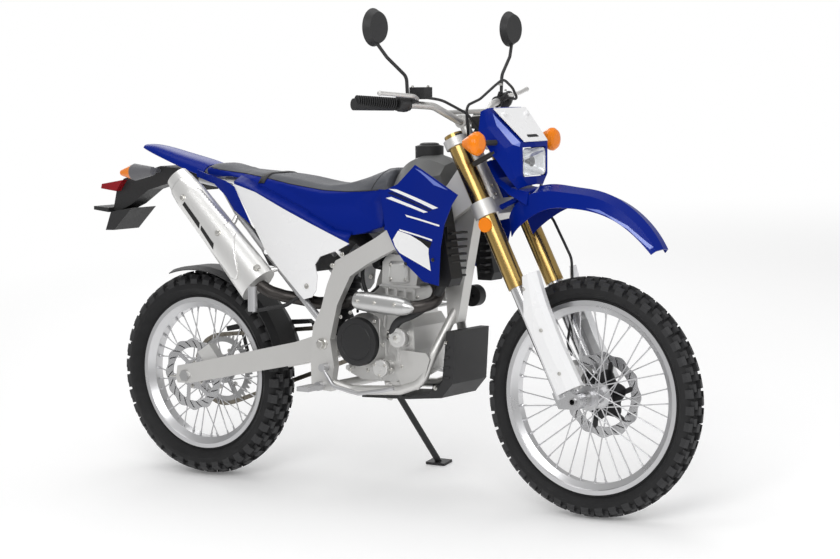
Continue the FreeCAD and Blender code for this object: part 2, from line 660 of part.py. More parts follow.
def engine():
    case = side_plate(crankcase_shares, -ENGINE_HALF_WIDTH, ENGINE_HALF_WIDTH)
    clutch = on_frame(clutch_centre_shares[0], 0, clutch_centre_shares[1])
    rim_y = ENGINE_HALF_WIDTH + CLUTCH_BOSS_DEPTH
    boss = rod(clutch - LEFT * ENGINE_HALF_WIDTH, clutch - LEFT * rim_y,
               CLUTCH_COVER_RADIUS + 2 * OVERRUN, CLUTCH_COVER_RADIUS)
    generator = on_frame(generator_centre_shares[0], 0, generator_centre_shares[1])
    left_boss = rod(generator + LEFT * ENGINE_HALF_WIDTH, generator + LEFT * rim_y,
                    GENERATOR_COVER_RADIUS + 2 * OVERRUN, GENERATOR_COVER_RADIUS)
    bolts = []
    for x, z in engine_bolt_shares:
        bolts.append(crossways(on_frame(x, 0, z), -pivot_plate_y, pivot_plate_y, ENGINE_BOLT_RADIUS))
    cover = rod(generator + LEFT * rim_y, generator + LEFT * (rim_y + CLUTCH_COVER_DEPTH),
                GENERATOR_COVER_RADIUS, GENERATOR_COVER_RADIUS - OVERRUN)
    corridor = Part.Face(chain_loop(CHAIN_HEIGHT / 2 + OVERRUN)).extrude(LEFT * (2 * ENGINE_HALF_WIDTH))
    corridor.translate(LEFT * (chain_y - CHAIN_WIDTH / 2 - OVERRUN))
    pump = on_frame(water_pump_shares[0], 0, water_pump_shares[1])
    pump_y = ENGINE_HALF_WIDTH + WATER_PUMP_DEPTH
    pump_cover = rod(pump, pump - LEFT * pump_y, WATER_PUMP_RADIUS, WATER_PUMP_RADIUS - OVERRUN)
    filter_centre = on_frame(oil_filter_shares[0], 0, oil_filter_shares[1])
    filter_cover = rod(filter_centre, filter_centre - LEFT * pump_y, OIL_FILTER_RADIUS,
                       OIL_FILTER_RADIUS - OVERRUN)
    ridges = []
    for (x, z), (next_x, next_z) in zip(case_ridge_shares, case_ridge_shares[1:]):
        start, end = on_frame(x, 0, z), on_frame(next_x, 0, next_z)
        ridges.append(rod(start - LEFT * ENGINE_HALF_WIDTH, end - LEFT * ENGINE_HALF_WIDTH, RIDGE_WIDTH / 2))
    case = fused(case, boss).cut(corridor)
    keep("crankcase", fused(case, left_boss, cover, pump_cover, filter_cover, *ridges, *bolts))
    keep("clutch_cover", rod(clutch - LEFT * rim_y, clutch - LEFT * (rim_y + CLUTCH_COVER_DEPTH),
                             CLUTCH_COVER_RADIUS, CLUTCH_COVER_RADIUS - OVERRUN))
    barrel = side_plate(cylinder_shares, -CYLINDER_HALF_WIDTH, CYLINDER_HALF_WIDTH)
    keep("cylinder", fused(barrel, side_plate(head_shares, -HEAD_HALF_WIDTH, HEAD_HALF_WIDTH)))


def intake():
    boot = tube([on_frame(x, 0, z) for x, z in boot_shares], BOOT_RADIUS, BOOT_BEND)
    box = side_plate(airbox_shares, -AIRBOX_HALF_WIDTH, AIRBOX_HALF_WIDTH)
    keep("air_box", fused(box, boot).cut(nodes["cylinder"]))


engine()
intake()

# Exhaust: a header that loops out to the right, its shield, and a fat tapered muffler beside the seat's tail
HEADER_RADIUS = 19.0
HEADER_BEND = 70.0
MUFFLER_LOW_HALF = (66.0, 50.0)
MUFFLER_HIGH_HALF = (50.0, 44.0)
MUFFLER_END_HALF = (38.0, 32.0)
MUFFLER_SHOULDER_share = 0.82
OUTLET_RADIUS = 14.0
OUTLET_DEPTH = 50.0

header_shares = ((0.800, -0.12, 0.700), (0.850, -0.16, 0.692), (0.893, -0.31, 0.655), (0.900, -0.48, 0.622),
                 (0.868, -0.68, 0.607), (0.790, -0.74, 0.612), (0.705, -0.74, 0.618), (0.650, -0.62, 0.615),
                 (0.610, -0.45, 0.608), (0.555, -0.40, 0.600), (0.480, -0.42, 0.595), (0.430, -0.46, 0.605),
                 (0.385, -0.60, 0.615), (0.352, -0.74, 0.630), (0.315, -0.82, 0.658))
# The header's heat shield: a silver shell with a pointed nose
SHIELD_RADIUS = 30.0
shield_start_shares = (0.868, -0.750, 0.606)
shield_end_shares = (0.668, -0.760, 0.620)
shield_profile_shares = ((0.05, 0.45), (0.14, 0.78), (0.26, 0.96), (0.40, 1.0), (0.80, 1.0), (0.95, 0.90),
                         (1.0, 0.80))
muffler_low_shares = (0.322, -0.82, 0.650)
muffler_high_shares = (0.020, -0.82, 0.985)


def exhaust():
    header = tube([on_frame(x, y, z) for x, y, z in header_shares], HEADER_RADIUS, HEADER_BEND)
    low = on_frame(*muffler_low_shares)
    high = on_frame(*muffler_high_shares)
    axis = (high - low).normalize()
    across = axis.cross(LEFT)
    wires = []
    shoulder = low + (high - low) * MUFFLER_SHOULDER_share
    for at, half in ((low, MUFFLER_LOW_HALF), (shoulder, MUFFLER_HIGH_HALF), (high, MUFFLER_END_HALF)):
        ellipse = Part.Ellipse(at + across * half[0], at + LEFT * half[1], at)
        wires.append(Part.Wire(ellipse.toShape()))
    can = Part.makeLoft(wires, True, True)
    outlet = rod(high - axis * OUTLET_DEPTH, high + axis * OVERRUN, OUTLET_RADIUS)
    keep("muffler", can.cut(outlet))
    header = header.cut(can).cut(nodes["cylinder"])
    keep("exhaust_pipe", header)
    start, end = on_frame(*shield_start_shares), on_frame(*shield_end_shares)
    length = (end - start).Length
    axis = (end - start).normalize()
    profile = [(0, 0)]
    profile += [(r_share * SHIELD_RADIUS, a_share * length) for a_share, r_share in shield_profile_shares]
    profile.append((0, length))
    shell = turned(profile, start, axis, UP)
    route = [on_frame(x, y, z) for x, y, z in header_shares]
    shell = shell.cut(tube(route, HEADER_RADIUS + SEAT_GAP, HEADER_BEND))
    keep("header_shield", max(shell.Solids, key=lambda solid: solid.Volume))


exhaust()

# Radiators: one each side of the downtube
RADIATOR_INNER_share = 0.42
RADIATOR_OUTER_share = 0.72
radiator_shares = ((0.905, 0.915), (0.950, 0.915), (0.985, 0.700), (0.975, 0.676), (0.930, 0.676))


def radiators():
    core = side_plate(radiator_shares, RADIATOR_INNER_share * BODY_HALF_WIDTH,
                      RADIATOR_OUTER_share * BODY_HALF_WIDTH)
    keep("radiators", both(core))


radiators()

# Fuel tank: a solid shell between the spars and the shrouds, with its cap
CAP_RADIUS = 42.0
CAP_HEIGHT = 22.0

# Stations along the tank: place, underside, top, then half widths low, at the shoulder and at the top edge
tank_station_shares = ((0.752, 0.860, 1.015, 0.40, 0.50, 0.30), (0.790, 0.870, 1.055, 0.42, 0.56, 0.34),
                       (0.830, 0.895, 1.070, 0.40, 0.56, 0.34), (0.870, 0.925, 1.060, 0.30, 0.46, 0.28),
                       (0.900, 0.960, 1.040, 0.20, 0.34, 0.20))
cap_shares = (0.822, 1.066)
TANK_SHOULDER_share = 0.55
TANK_EDGE_share = 0.10


def fuel_tank():
    wires = []
    for x, low, high, low_y, shoulder_y, top_y in tank_station_shares:
        shoulder = low + (high - low) * TANK_SHOULDER_share
        edge = high - (high - low) * TANK_EDGE_share
        right = [(-low_y, low), (-shoulder_y, shoulder), (-top_y, edge)]
        outline = [on_frame(x, y, z) for y, z in right] + [on_frame(x, 0, high)]
        outline += [on_frame(x, -y, z) for y, z in reversed(right)]
        wires.append(closed_wire(outline))
    keep("fuel_tank", Part.makeLoft(wires, True, False))
    foot = on_frame(cap_shares[0], 0, cap_shares[1])
    cap = rod(foot - UP * CAP_HEIGHT, foot + UP * CAP_HEIGHT, CAP_RADIUS).cut(nodes["fuel_tank"])
    keep("tank_cap", cap)


fuel_tank()

# Seat: a long padded bench, narrow at the tank and the tail, on a flat base
# Stations: place, underside, edge and top heights, then half widths at the underside, the edge and the top
seat_station_shares = ((0.052, 0.992, 1.008, 1.018, 0.34, 0.34, 0.20),
                       (0.144, 0.981, 1.000, 1.012, 0.42, 0.42, 0.25),
                       (0.289, 0.946, 0.982, 0.992, 0.52, 0.48, 0.30),
                       (0.400, 0.906, 0.966, 0.978, 0.60, 0.54, 0.34),
                       (0.500, 0.864, 0.950, 0.963, 0.66, 0.57, 0.36),
                       (0.600, 0.820, 0.950, 0.975, 0.68, 0.55, 0.34),
                       (0.680, 0.822, 0.962, 1.005, 0.66, 0.52, 0.32),
                       (0.740, 0.840, 0.985, 1.030, 0.62, 0.50, 0.30))


def seat():
    wires = []
    for x, low, edge, high, low_y, edge_y, top_y in seat_station_shares:
        right = [(-low_y, low), (-edge_y, edge), (-top_y, high)]
        outline = [on_frame(x, y, z) for y, z in right] + [on_frame(x, -y, z) for y, z in reversed(right)]
        wires.append(closed_wire(outline))
    keep("seat", Part.makeLoft(wires, True, False).cut(nodes["air_box"]))


seat()

# Body panels
shroud_outline_shares = ((0.742, 0.951), (0.809, 0.978), (0.876, 1.038), (1.044, 0.955), (1.022, 0.927),
                         (0.990, 0.864), (0.975, 0.798), (0.966, 0.682), (0.905, 0.690), (0.838, 0.739),
                         (0.795, 0.789), (0.760, 0.850))
shroud_plan_shares = ((0.72, 0.66), (0.80, 0.74), (0.88, 0.80), (0.96, 0.90), (1.06, 1.02))
side_cover_shares = ((0.197, 0.965), (0.289, 0.940), (0.478, 0.861), (0.642, 0.792), (0.600, 0.770),
                     (0.539, 0.749), (0.520, 0.723), (0.528, 0.686), (0.522, 0.641), (0.507, 0.621),
                     (0.478, 0.613), (0.331, 0.753), (0.272, 0.848))
side_cover_plan_shares = ((0.18, 0.60), (0.30, 0.66), (0.42, 0.74), (0.52, 0.76), (0.66, 0.76))


def body_panels():
    shroud = panel(shroud_outline_shares, shroud_plan_shares, MOULDING)
    keep("radiator_shrouds", both(shroud))
    cover = panel(side_cover_shares, side_cover_plan_shares, MOULDING)
    keep("side_covers", both(cover))


body_panels()

# Tail: a blue cowl behind the seat, the inner fender, and the stay that carries lamp, plate and signals
TAIL_WALL = 3.0
COWL_MID_share = 0.75
COWL_MID_WIDTH_share = 0.72
PLATE_WIDTH = 120.0
SIGNAL_RADIUS = 34.0
REFLECTOR_DEPTH = 6.0
REAR_SIGNAL_RADIUS = 27.0
SIGNAL_TIP_share = 0.33
STALK_RADIUS = 8.0

# Stations along the cowl: place, edge height, crown height, half width
tail_station_shares = ((0.050, 0.985, 1.019, 0.40), (-0.020, 1.005, 1.040, 0.38),
                       (-0.110, 1.035, 1.062, 0.32), (-0.190, 1.060, 1.079, 0.22),
                       (-0.222, 1.070, 1.080, 0.15))
tail_wing_shares = ((0.044, 1.004), (0.050, 0.980), (0.120, 0.962), (0.170, 0.925), (0.205, 0.880),
                    (0.272, 0.838), (0.205, 0.955), (0.170, 0.972))
tail_wing_plan_shares = ((0.03, 0.46), (0.12, 0.56), (0.20, 0.62), (0.29, 0.67))
wing_tie_shares = ((0.048, -0.475, 0.988), (0.048, -0.385, 0.987))
stay_shares = ((0.030, 0.968), (-0.050, 1.000), (-0.150, 1.010), (-0.300, 0.965), (-0.330, 0.925),
               (-0.345, 0.860), (-0.325, 0.855), (-0.270, 0.880), (-0.200, 0.930), (-0.080, 0.965),
               (0.020, 0.935))
flap_shares = ((-0.335, 0.855), (-0.358, 0.793), (-0.323, 0.794), (-0.250, 0.870))
lamp_shares = ((-0.285, 0.962), (-0.370, 0.947), (-0.374, 0.932), (-0.312, 0.924))
plate_bracket_shares = ((-0.345, 0.868), (-0.405, 0.872), (-0.405, 0.860), (-0.345, 0.853))
rear_signal_shares = (-0.155, -0.75, 0.995)
rear_signal_nose_shares = (-0.085, -0.75, 0.999)
rear_signal_tip_shares = (-0.210, -0.75, 0.991)
STAY_HALF_WIDTH = 36.0
FLAP_HALF_WIDTH = 60.0

# Two blind holes in the flap's rear face take the number plate's bolts
PLATE_HOLE_RADIUS = 3.2
PLATE_HOLE_DEPTH = 14.0
PLATE_HOLE_Y = 45.0
flap_top = on_frame(flap_shares[0][0], 0, flap_shares[0][1])
flap_low = on_frame(flap_shares[1][0], 0, flap_shares[1][1])
plate_normal = LEFT.cross((flap_low - flap_top).normalize())
plate_holes = [(flap_top + flap_low) / 2 + LEFT * y for y in (-PLATE_HOLE_Y, PLATE_HOLE_Y)]


def tail():
    stations = []
    for x, edge, crown, half in tail_station_shares:
        mid = edge + (crown - edge) * COWL_MID_share
        bend = half * COWL_MID_WIDTH_share
        stations.append([on_frame(x, -half, edge), on_frame(x, -bend, mid), on_frame(x, 0, crown),
                         on_frame(x, bend, mid), on_frame(x, half, edge)])
    cowl = skin(stations, [FORWARD] * len(stations), TAIL_WALL)
    wing = panel(tail_wing_shares, tail_wing_plan_shares, MOULDING)
    tie = rod(on_frame(*wing_tie_shares[0]), on_frame(*wing_tie_shares[1]), STALK_RADIUS)
    keep("tail_cowl", fused(cowl, wing, mirrored(wing), tie, mirrored(tie)))
    stay = side_plate(stay_shares, -STAY_HALF_WIDTH, STAY_HALF_WIDTH)
    flap = side_plate(flap_shares, -FLAP_HALF_WIDTH, FLAP_HALF_WIDTH)
    bracket = side_plate(plate_bracket_shares, -PLATE_WIDTH / 2, PLATE_WIDTH / 2)
    rear = fused(stay, flap, bracket).cut(nodes["rear_subframe"])
    for hole in plate_holes:
        bottom = hole - plate_normal * PLATE_HOLE_DEPTH
        rear = rear.cut(rod(bottom, hole + plate_normal * OVERRUN, PLATE_HOLE_RADIUS))
    keep("rear_stay", rear)
    keep("tail_lamp", side_plate(lamp_shares, -FLAP_HALF_WIDTH, FLAP_HALF_WIDTH).cut(nodes["rear_stay"]))
    centre = on_frame(*rear_signal_shares)
    nose = on_frame(*rear_signal_nose_shares)
    tip = on_frame(*rear_signal_tip_shares)
    axis = (nose - tip).normalize()
    ahead = (nose - centre).Length
    behind = -(tip - centre).Length
    profile = [(0, ahead), (REAR_SIGNAL_RADIUS / 2, ahead), (REAR_SIGNAL_RADIUS, 0),
               (REAR_SIGNAL_RADIUS * SIGNAL_TIP_share, behind), (0, behind)]
    lamp = turned(profile, centre, axis, LEFT)
    stalk = rod(Vector(centre.x, -STAY_HALF_WIDTH - SEAT_GAP, centre.z), centre, STALK_RADIUS)
    keep("rear_signals", both(fused(lamp, stalk)))


# Inner fender: an arc over the front of the rear tyre with a turned-down lip each side
INNER_FENDER_GAP = 15.0
INNER_FENDER_LIP = 10.0
INNER_FENDER_HALF_share = 0.55
INNER_FENDER_FLAT_share = 0.33
INNER_FENDER_STATIONS = 7
INNER_FENDER_START = 18.0
INNER_FENDER_TURN = 90.0


def inner_fender():
    half = LEFT * (REAR_TYRE_WIDTH * INNER_FENDER_HALF_share)
    flat = LEFT * (REAR_TYRE_WIDTH * INNER_FENDER_FLAT_share)
    stations = []
    axes = []
    for k in range(INNER_FENDER_STATIONS):
        turn = math.radians(INNER_FENDER_START + INNER_FENDER_TURN * k / (INNER_FENDER_STATIONS - 1))
        out = Vector(math.cos(turn), 0, math.sin(turn))
        top = REAR_AXLE + out * (REAR_TYRE_RADIUS + INNER_FENDER_GAP)
        edge = top - out * INNER_FENDER_LIP
        stations.append([edge - half, top - flat, top + flat, edge + half])
        axes.append(out.cross(LEFT))
    keep("inner_fender", skin(stations, axes, MOULDING, smooth=False))


inner_fender()

# Rear subframe: an upper rail and a lower stay each side
SUBFRAME_RADIUS = 11.0
SUBFRAME_BEND = 55.0
subframe_rail_shares = ((0.560, 0.50, 0.752), (0.480, 0.50, 0.836), (0.289, 0.47, 0.916),
                        (0.150, 0.36, 0.952), (0.030, 0.30, 0.970))
subframe_stay_shares = ((0.518, 0.66, 0.555), (0.430, 0.62, 0.640), (0.300, 0.56, 0.770),
                        (0.200, 0.50, 0.870), (0.120, 0.36, 0.958))


def rear_subframe():
    rail = tube([on_chassis(*p) for p in subframe_rail_shares], SUBFRAME_RADIUS, SUBFRAME_BEND)
    stay = tube([on_chassis(*p) for p in subframe_stay_shares], SUBFRAME_RADIUS, SUBFRAME_BEND)
    side = fused(rail, stay)
    end = on_chassis(*subframe_rail_shares[-1])
    cross = crossways(Vector(end.x, 0, end.z), -end.y, end.y, SUBFRAME_RADIUS)
    keep("rear_subframe", fused(side, mirrored(side), cross).cut(nodes["main_frame"]).cut(nodes["air_box"]))


rear_subframe()
tail()

# Skid plate, drive chain with its guard, and front sprocket
SKID_HALF_WIDTH = 92.0
GUARD_WIDTH = 20.0
skid_shares = ((0.934, 0.535), (0.962, 0.535), (0.952, 0.375), (0.915, 0.330), (0.800, 0.318), (0.640, 0.312),
               (0.640, 0.318), (0.800, 0.326), (0.870, 0.338), (0.918, 0.380))
chain_guard_shares = ((0.015, 0.478), (0.100, 0.500), (0.330, 0.520), (0.345, 0.508), (0.110, 0.482),
                      (0.020, 0.462))

def drive():
    outer = Part.Face(chain_loop(CHAIN_HEIGHT / 2)).extrude(LEFT * CHAIN_WIDTH)
    inner = Part.Face(chain_loop(-CHAIN_HEIGHT / 2)).extrude(LEFT * CHAIN_WIDTH)
    chain = outer.cut(inner)
    chain.translate(LEFT * (chain_y - CHAIN_WIDTH / 2))
    inner_radius = front_sprocket_pitch_radius - CHAIN_HEIGHT / 2 - RUNNING_GAP
    low_y = chain_y - SPROCKET_THICKNESS / 2
    sprocket = crossways(front_sprocket_centre, low_y, low_y + SPROCKET_THICKNESS, inner_radius)
    keep("drive_chain", Part.makeCompound([chain, sprocket]))
    guard_y = chain_y - GUARD_WIDTH / 2 + MOULDING
    keep("chain_guard", side_plate(chain_guard_shares, guard_y, guard_y + GUARD_WIDTH))


def skid_plate():
    plate_solid = side_plate(skid_shares, -SKID_HALF_WIDTH, SKID_HALF_WIDTH)
    keep("skid_plate", plate_solid.cut(nodes["main_frame"]))


drive()
skid_plate()

# Foot controls and pegs
PEG_LENGTH = 75.0
PEG_HALF = 22.0
PEG_HEIGHT = 14.0
PEG_BRACKET = 16.0
PEG_OUT = 80.0
PEDAL_RADIUS = 6.0
PEDAL_BEND = 30.0
rider_peg_shares = (0.530, 0.345)
passenger_peg_shares = (0.345, 0.575)
hanger_shares = ((0.44, 0.64, 0.615), (0.41, 0.74, 0.590))
brake_pedal_shares = ((0.550, -0.81, 0.405), (0.590, -0.82, 0.350), (0.680, -0.84, 0.335),
                      (0.770, -0.86, 0.352), (0.805, -0.86, 0.362))
shift_pedal_shares = ((0.655, 0.80, 0.400), (0.720, 0.84, 0.378), (0.790, 0.87, 0.368))


def pegs():
    rider = on_frame(rider_peg_shares[0], 0, rider_peg_shares[1])
    near = frame_outer_y + SEAT_GAP
    tread = Part.makeBox(2 * PEG_HALF, PEG_LENGTH, PEG_HEIGHT,
                         Vector(rider.x - PEG_HALF, near + PEG_BRACKET, rider.z - PEG_HEIGHT / 2))
    arm = crossways(rider, near, near + PEG_BRACKET, PEG_HEIGHT)
    keep("rider_pegs", both(fused(tread, arm).cut(nodes["main_frame"])))
    passenger = on_frame(passenger_peg_shares[0], 0, passenger_peg_shares[1])
    out_from_frame = passenger + LEFT * (PEG_OUT + near)
    fold = rod(out_from_frame, out_from_frame + UP * PEG_LENGTH, PEG_HEIGHT)
    hanger = tube([on_frame(*p) for p in hanger_shares] + [out_from_frame], PEDAL_RADIUS, PEDAL_BEND)
    keep("passenger_pegs", both(fused(fold, hanger).cut(nodes["rear_subframe"])))


def foot_controls():
    brake = tube([on_frame(*p) for p in brake_pedal_shares], PEDAL_RADIUS, PEDAL_BEND)
    pivot = on_frame(*brake_pedal_shares[0])
    brake = fused(brake, rod(Vector(pivot.x, -frame_outer_y - SEAT_GAP, pivot.z), pivot - LEFT * PEDAL_RADIUS,
                             2 * PEDAL_RADIUS))
    shift = tube([on_frame(*p) for p in shift_pedal_shares], PEDAL_RADIUS, PEDAL_BEND)
    shaft = on_frame(*shift_pedal_shares[0])
    spindle_end = Vector(shaft.x, ENGINE_HALF_WIDTH + SEAT_GAP, shaft.z)
    shift = fused(shift, rod(spindle_end, shaft + LEFT * PEDAL_RADIUS, 2 * PEDAL_RADIUS))
    keep("foot_pedals", Part.makeCompound([brake.cut(nodes["main_frame"]), shift]))


pegs()
foot_controls()

# Fork: clamps and stem, outer tubes, sliders with their axle lugs, and the axle
FORK_TUBE_RADIUS = 27.5
FORK_SLIDER_RADIUS = 23.0
FORK_TUBE_FORWARD = 25.0
FORK_TUBE_Y = 102.0
CLAMP_WALL = 8.0
CLAMP_DEPTH = 34.0
LUG_INNER_Y = 80.0
LUG_OUTER_Y = 118.0
LUG_RADIUS = 24.0
LOWER_CLAMP_share = (0.693, 0.748)
UPPER_CLAMP_share = (0.955, 0.985)
TUBE_share = (0.430, 1.000)
SLIDER_TOP_share = 0.500


def clamp(low_share, high_share):
    low = low_share * FORK_LENGTH
    height = (high_share - low_share) * FORK_LENGTH
    reach = FORK_TUBE_RADIUS + CLAMP_WALL
    front = FORK_TUBE_FORWARD + CLAMP_DEPTH / 2
    corners = [(-reach / 2, -STEM_RADIUS), (-reach / 2, STEM_RADIUS), (0, FORK_TUBE_Y), (front, FORK_TUBE_Y),
               (front, -FORK_TUBE_Y), (0, -FORK_TUBE_Y)]
    middle = plate([fork_at(forward, y, low) for forward, y in corners], FORK_UP * height)
    ends = []
    for y in (-FORK_TUBE_Y, FORK_TUBE_Y):
        foot = fork_at(FORK_TUBE_FORWARD, y, low)
        ends.append(rod(foot, foot + FORK_UP * height, reach))
    return fused(middle, *ends)


def fork():
    stem = rod(on_fork(0, 0, LOWER_CLAMP_share[0]), on_fork(0, 0, UPPER_CLAMP_share[1]), STEM_RADIUS)
    clamps = fused(clamp(*LOWER_CLAMP_share), clamp(*UPPER_CLAMP_share), stem)
    tubes = []
    sliders = []
    for y in (-FORK_TUBE_Y, FORK_TUBE_Y):
        low = fork_at(FORK_TUBE_FORWARD, y, TUBE_share[0] * FORK_LENGTH)
        high = fork_at(FORK_TUBE_FORWARD, y, TUBE_share[1] * FORK_LENGTH)
        clamps = clamps.cut(rod(low, high, FORK_TUBE_RADIUS + SEAT_GAP))
        top = fork_at(FORK_TUBE_FORWARD, y, SLIDER_TOP_share * FORK_LENGTH)
        bore = rod(low - FORK_UP * OVERRUN, top + FORK_UP * OVERRUN, FORK_SLIDER_RADIUS + SEAT_GAP)
        tubes.append(rod(low, high, FORK_TUBE_RADIUS).cut(bore))
        side = 1 if y > 0 else -1
        foot = fork_at(FORK_TUBE_FORWARD, y, LUG_RADIUS)
        slider = rod(foot, top, FORK_SLIDER_RADIUS)
        lug_ys = sorted((side * LUG_INNER_Y, side * LUG_OUTER_Y))
        lug = crossways(FRONT_AXLE, *lug_ys, LUG_RADIUS)
        web = plate([fork_at(FORK_TUBE_FORWARD - FORK_SLIDER_RADIUS, side * LUG_INNER_Y, 2 * LUG_RADIUS),
                     fork_at(FORK_TUBE_FORWARD + FORK_SLIDER_RADIUS, side * LUG_INNER_Y, 2 * LUG_RADIUS),
                     fork_at(FORK_OFFSET + LUG_RADIUS, side * LUG_INNER_Y, 0),
                     fork_at(FORK_OFFSET, side * LUG_INNER_Y, -LUG_RADIUS),
                     fork_at(FORK_TUBE_FORWARD - FORK_SLIDER_RADIUS, side * LUG_INNER_Y, 0)],
                    LEFT * (side * (LUG_OUTER_Y - LUG_INNER_Y)))
        leg = fused(slider, lug, web)
        sliders.append(leg.cut(crossways(FRONT_AXLE, -2 * LUG_OUTER_Y, 2 * LUG_OUTER_Y, FRONT_AXLE_RADIUS)))
    keep("triple_clamps", clamps)
    keep("fork_tubes", Part.makeCompound(tubes))
    keep("fork_sliders", Part.makeCompound(sliders))
    shaft = crossways(FRONT_AXLE, -LUG_OUTER_Y - OVERRUN, LUG_OUTER_Y + OVERRUN, FRONT_AXLE_RADIUS)
    collar = FRONT_AXLE_RADIUS + OVERRUN
    left_spacer = crossways(FRONT_AXLE, front_disc_y + DISC_THICKNESS + RUNNING_GAP, LUG_INNER_Y, collar)
    right_spacer = crossways(FRONT_AXLE, -LUG_INNER_Y, -FRONT_HUB_HALF_WIDTH - RUNNING_GAP, collar)
    bore = crossways(FRONT_AXLE, -2 * LUG_OUTER_Y, 2 * LUG_OUTER_Y, FRONT_AXLE_BORE)
    keep("front_axle", fused(shaft, left_spacer, right_spacer).cut(bore))


fork()

# Fork guards: white mouldings round the outside and front of each slider
guard_height_shares = (0.040, 0.200, 0.330, 0.400, 0.450)
guard_rear_shares = (0.030, 0.030, 0.030, 0.0615, 0.084)
guard_front_shares = (0.112, 0.106, 0.112, 0.120, 0.128)
guard_side_shares = (-0.665, -0.672, -0.640, -0.55, -0.42)
GUARD_CORNER_share = 0.012
GUARD_LIP_share = 0.006


def fork_guards():
    stations = []
    for up, rear, front in zip(guard_height_shares, guard_rear_shares, guard_front_shares):
        depths = (rear, (rear + front) / 2, front - GUARD_CORNER_share, front, front - GUARD_LIP_share)
        stations.append([on_fork(u, side, up) for u, side in zip(depths, guard_side_shares)])
    guard = skin(stations, [FORK_UP * -1] * len(stations), MOULDING, smooth=False, ruled=True)
    keep("fork_guards", both(guard.cut(nodes["fork_sliders"]).cut(nodes["fork_tubes"])))


fork_guards()

# Handlebar with its crossbar, grips, perches and controls
BAR_RADIUS = 11.0
CROSSBAR_RADIUS = 7.0
BAR_BEND = 60.0
RISER_share = 0.21
RISER_WIDTH = 30.0
GRIP_RADIUS = 17.0
bar_shares = ((0.044, 0.0, 1.042), (0.044, 0.30, 1.042), (0.040, 0.78, 1.105), (0.018, 1.06, 1.122),
              (-0.060, 2.00, 1.168))
crossbar_shares = (0.042, 0.50, 1.078)
GRIP_share = 0.63


def handlebar():
    half = [on_fork(*p) for p in bar_shares]
    line = [on_fork(u, -y, w) for u, y, w in reversed(bar_shares[1:])] + half[1:]
    bar = tube(line, BAR_RADIUS, BAR_BEND)
    cross = on_fork(crossbar_shares[0], 0, crossbar_shares[2])
    reach = crossbar_shares[1] * BODY_HALF_WIDTH
    bar = fused(bar, crossways(cross, -reach, reach, CROSSBAR_RADIUS))
    keep("handlebar", bar)
    seats = []
    for y in (-RISER_share, RISER_share):
        middle = on_fork(bar_shares[0][0], y, bar_shares[0][2])
        foot = on_fork(bar_shares[0][0], y, UPPER_CLAMP_share[0])
        reach = LEFT * (RISER_WIDTH / 2)
        seats.append(rod(foot, middle, RISER_WIDTH / 2))
        seats.append(rod(middle - reach, middle + reach, BAR_RADIUS + CLAMP_WALL))
    clamps = fused(nodes["triple_clamps"], *seats)
    straight = bar_shares[1][1] * BODY_HALF_WIDTH
    clamps = clamps.cut(crossways(on_fork(*bar_shares[0]), -straight, straight, BAR_RADIUS + SEAT_GAP))
    keep("triple_clamps", clamps.cut(bar))
    inner = half[-2] + (half[-1] - half[-2]) * (1 - GRIP_share)
    aim = (half[-1] - half[-2]).normalize()
    grip = rod(inner, half[-1] + aim * OVERRUN, GRIP_RADIUS)
    grip = grip.cut(rod(inner - aim * OVERRUN, half[-1], BAR_RADIUS))
    keep("grips", both(grip))


handlebar()

# Controls: perches with their switches and master cylinder, levers and mirrors
PERCH_RADIUS = 17.0
PERCH_LENGTH = 44.0
RESERVOIR = (52.0, 40.0, 34.0)
LEVER_RADIUS = 6.0
LEVER_BEND = 30.0
MIRROR_RADIUS = 54.0
MIRROR_DEPTH = 20.0
MIRROR_FRONT_share = 0.8
MIRROR_STEM_RADIUS = 5.0
MIRROR_BEND = 30.0
lever_shares = ((0.055, 1.20, 1.128), (0.075, 1.40, 1.128), (0.038, 1.94, 1.160))
mirror_stem_shares = ((0.030, 1.24, 1.152), (0.058, 1.26, 1.208), (0.070, 1.62, 1.275), (0.078, 1.78, 1.325))
reservoir_share = (0.050, -1.02, 1.150)
reservoir_neck_share = (0.020, -1.20, 1.135)


def controls():
    bar_line = [on_fork(*p) for p in bar_shares[-2:]]
    aim = (bar_line[1] - bar_line[0]).normalize()
    near = bar_line[0] + aim * (BAR_RADIUS * 2)
    perch = rod(near, near + aim * PERCH_LENGTH, PERCH_RADIUS)
    arm = rod(near + aim * (PERCH_LENGTH / 2), on_fork(*lever_shares[0]), LEVER_RADIUS + MOULDING)
    post = rod(near + aim * (PERCH_LENGTH / 2), on_fork(*mirror_stem_shares[0]), LEVER_RADIUS + MOULDING)
    side = fused(perch, arm, post)
    side = side.cut(rod(bar_line[0], bar_line[1], BAR_RADIUS + SEAT_GAP))
    reservoir_at = on_fork(*reservoir_share)
    length, width, height = RESERVOIR
    reservoir = Part.makeBox(length, width, height, reservoir_at - Vector(length, width, height) / 2)
    neck = rod(reservoir_at, on_fork(*reservoir_neck_share), LEVER_RADIUS + MOULDING)
    right = fused(mirrored(side), reservoir, neck).cut(nodes["handlebar"])
    keep("controls", Part.makeCompound([side, right]))
    lever = tube([on_fork(*p) for p in lever_shares], LEVER_RADIUS, LEVER_BEND)
    lever = fused(lever, Part.makeSphere(LEVER_RADIUS + MOULDING / 2, on_fork(*lever_shares[-1]))).cut(side)
    keep("levers", both(lever))


def mirrors():
    stem = tube([on_fork(*p) for p in mirror_stem_shares], MIRROR_STEM_RADIUS, MIRROR_BEND)
    front_radius = MIRROR_RADIUS * MIRROR_FRONT_share
    front = on_fork(*mirror_stem_shares[-1]) + FORWARD * (MIRROR_DEPTH / 2) + UP * front_radius
    head = rod(front, front - FORWARD * MIRROR_DEPTH, front_radius, MIRROR_RADIUS)
    keep("mirrors", both(fused(stem, head).cut(nodes["controls"].Solids[0])))


controls()
mirrors()

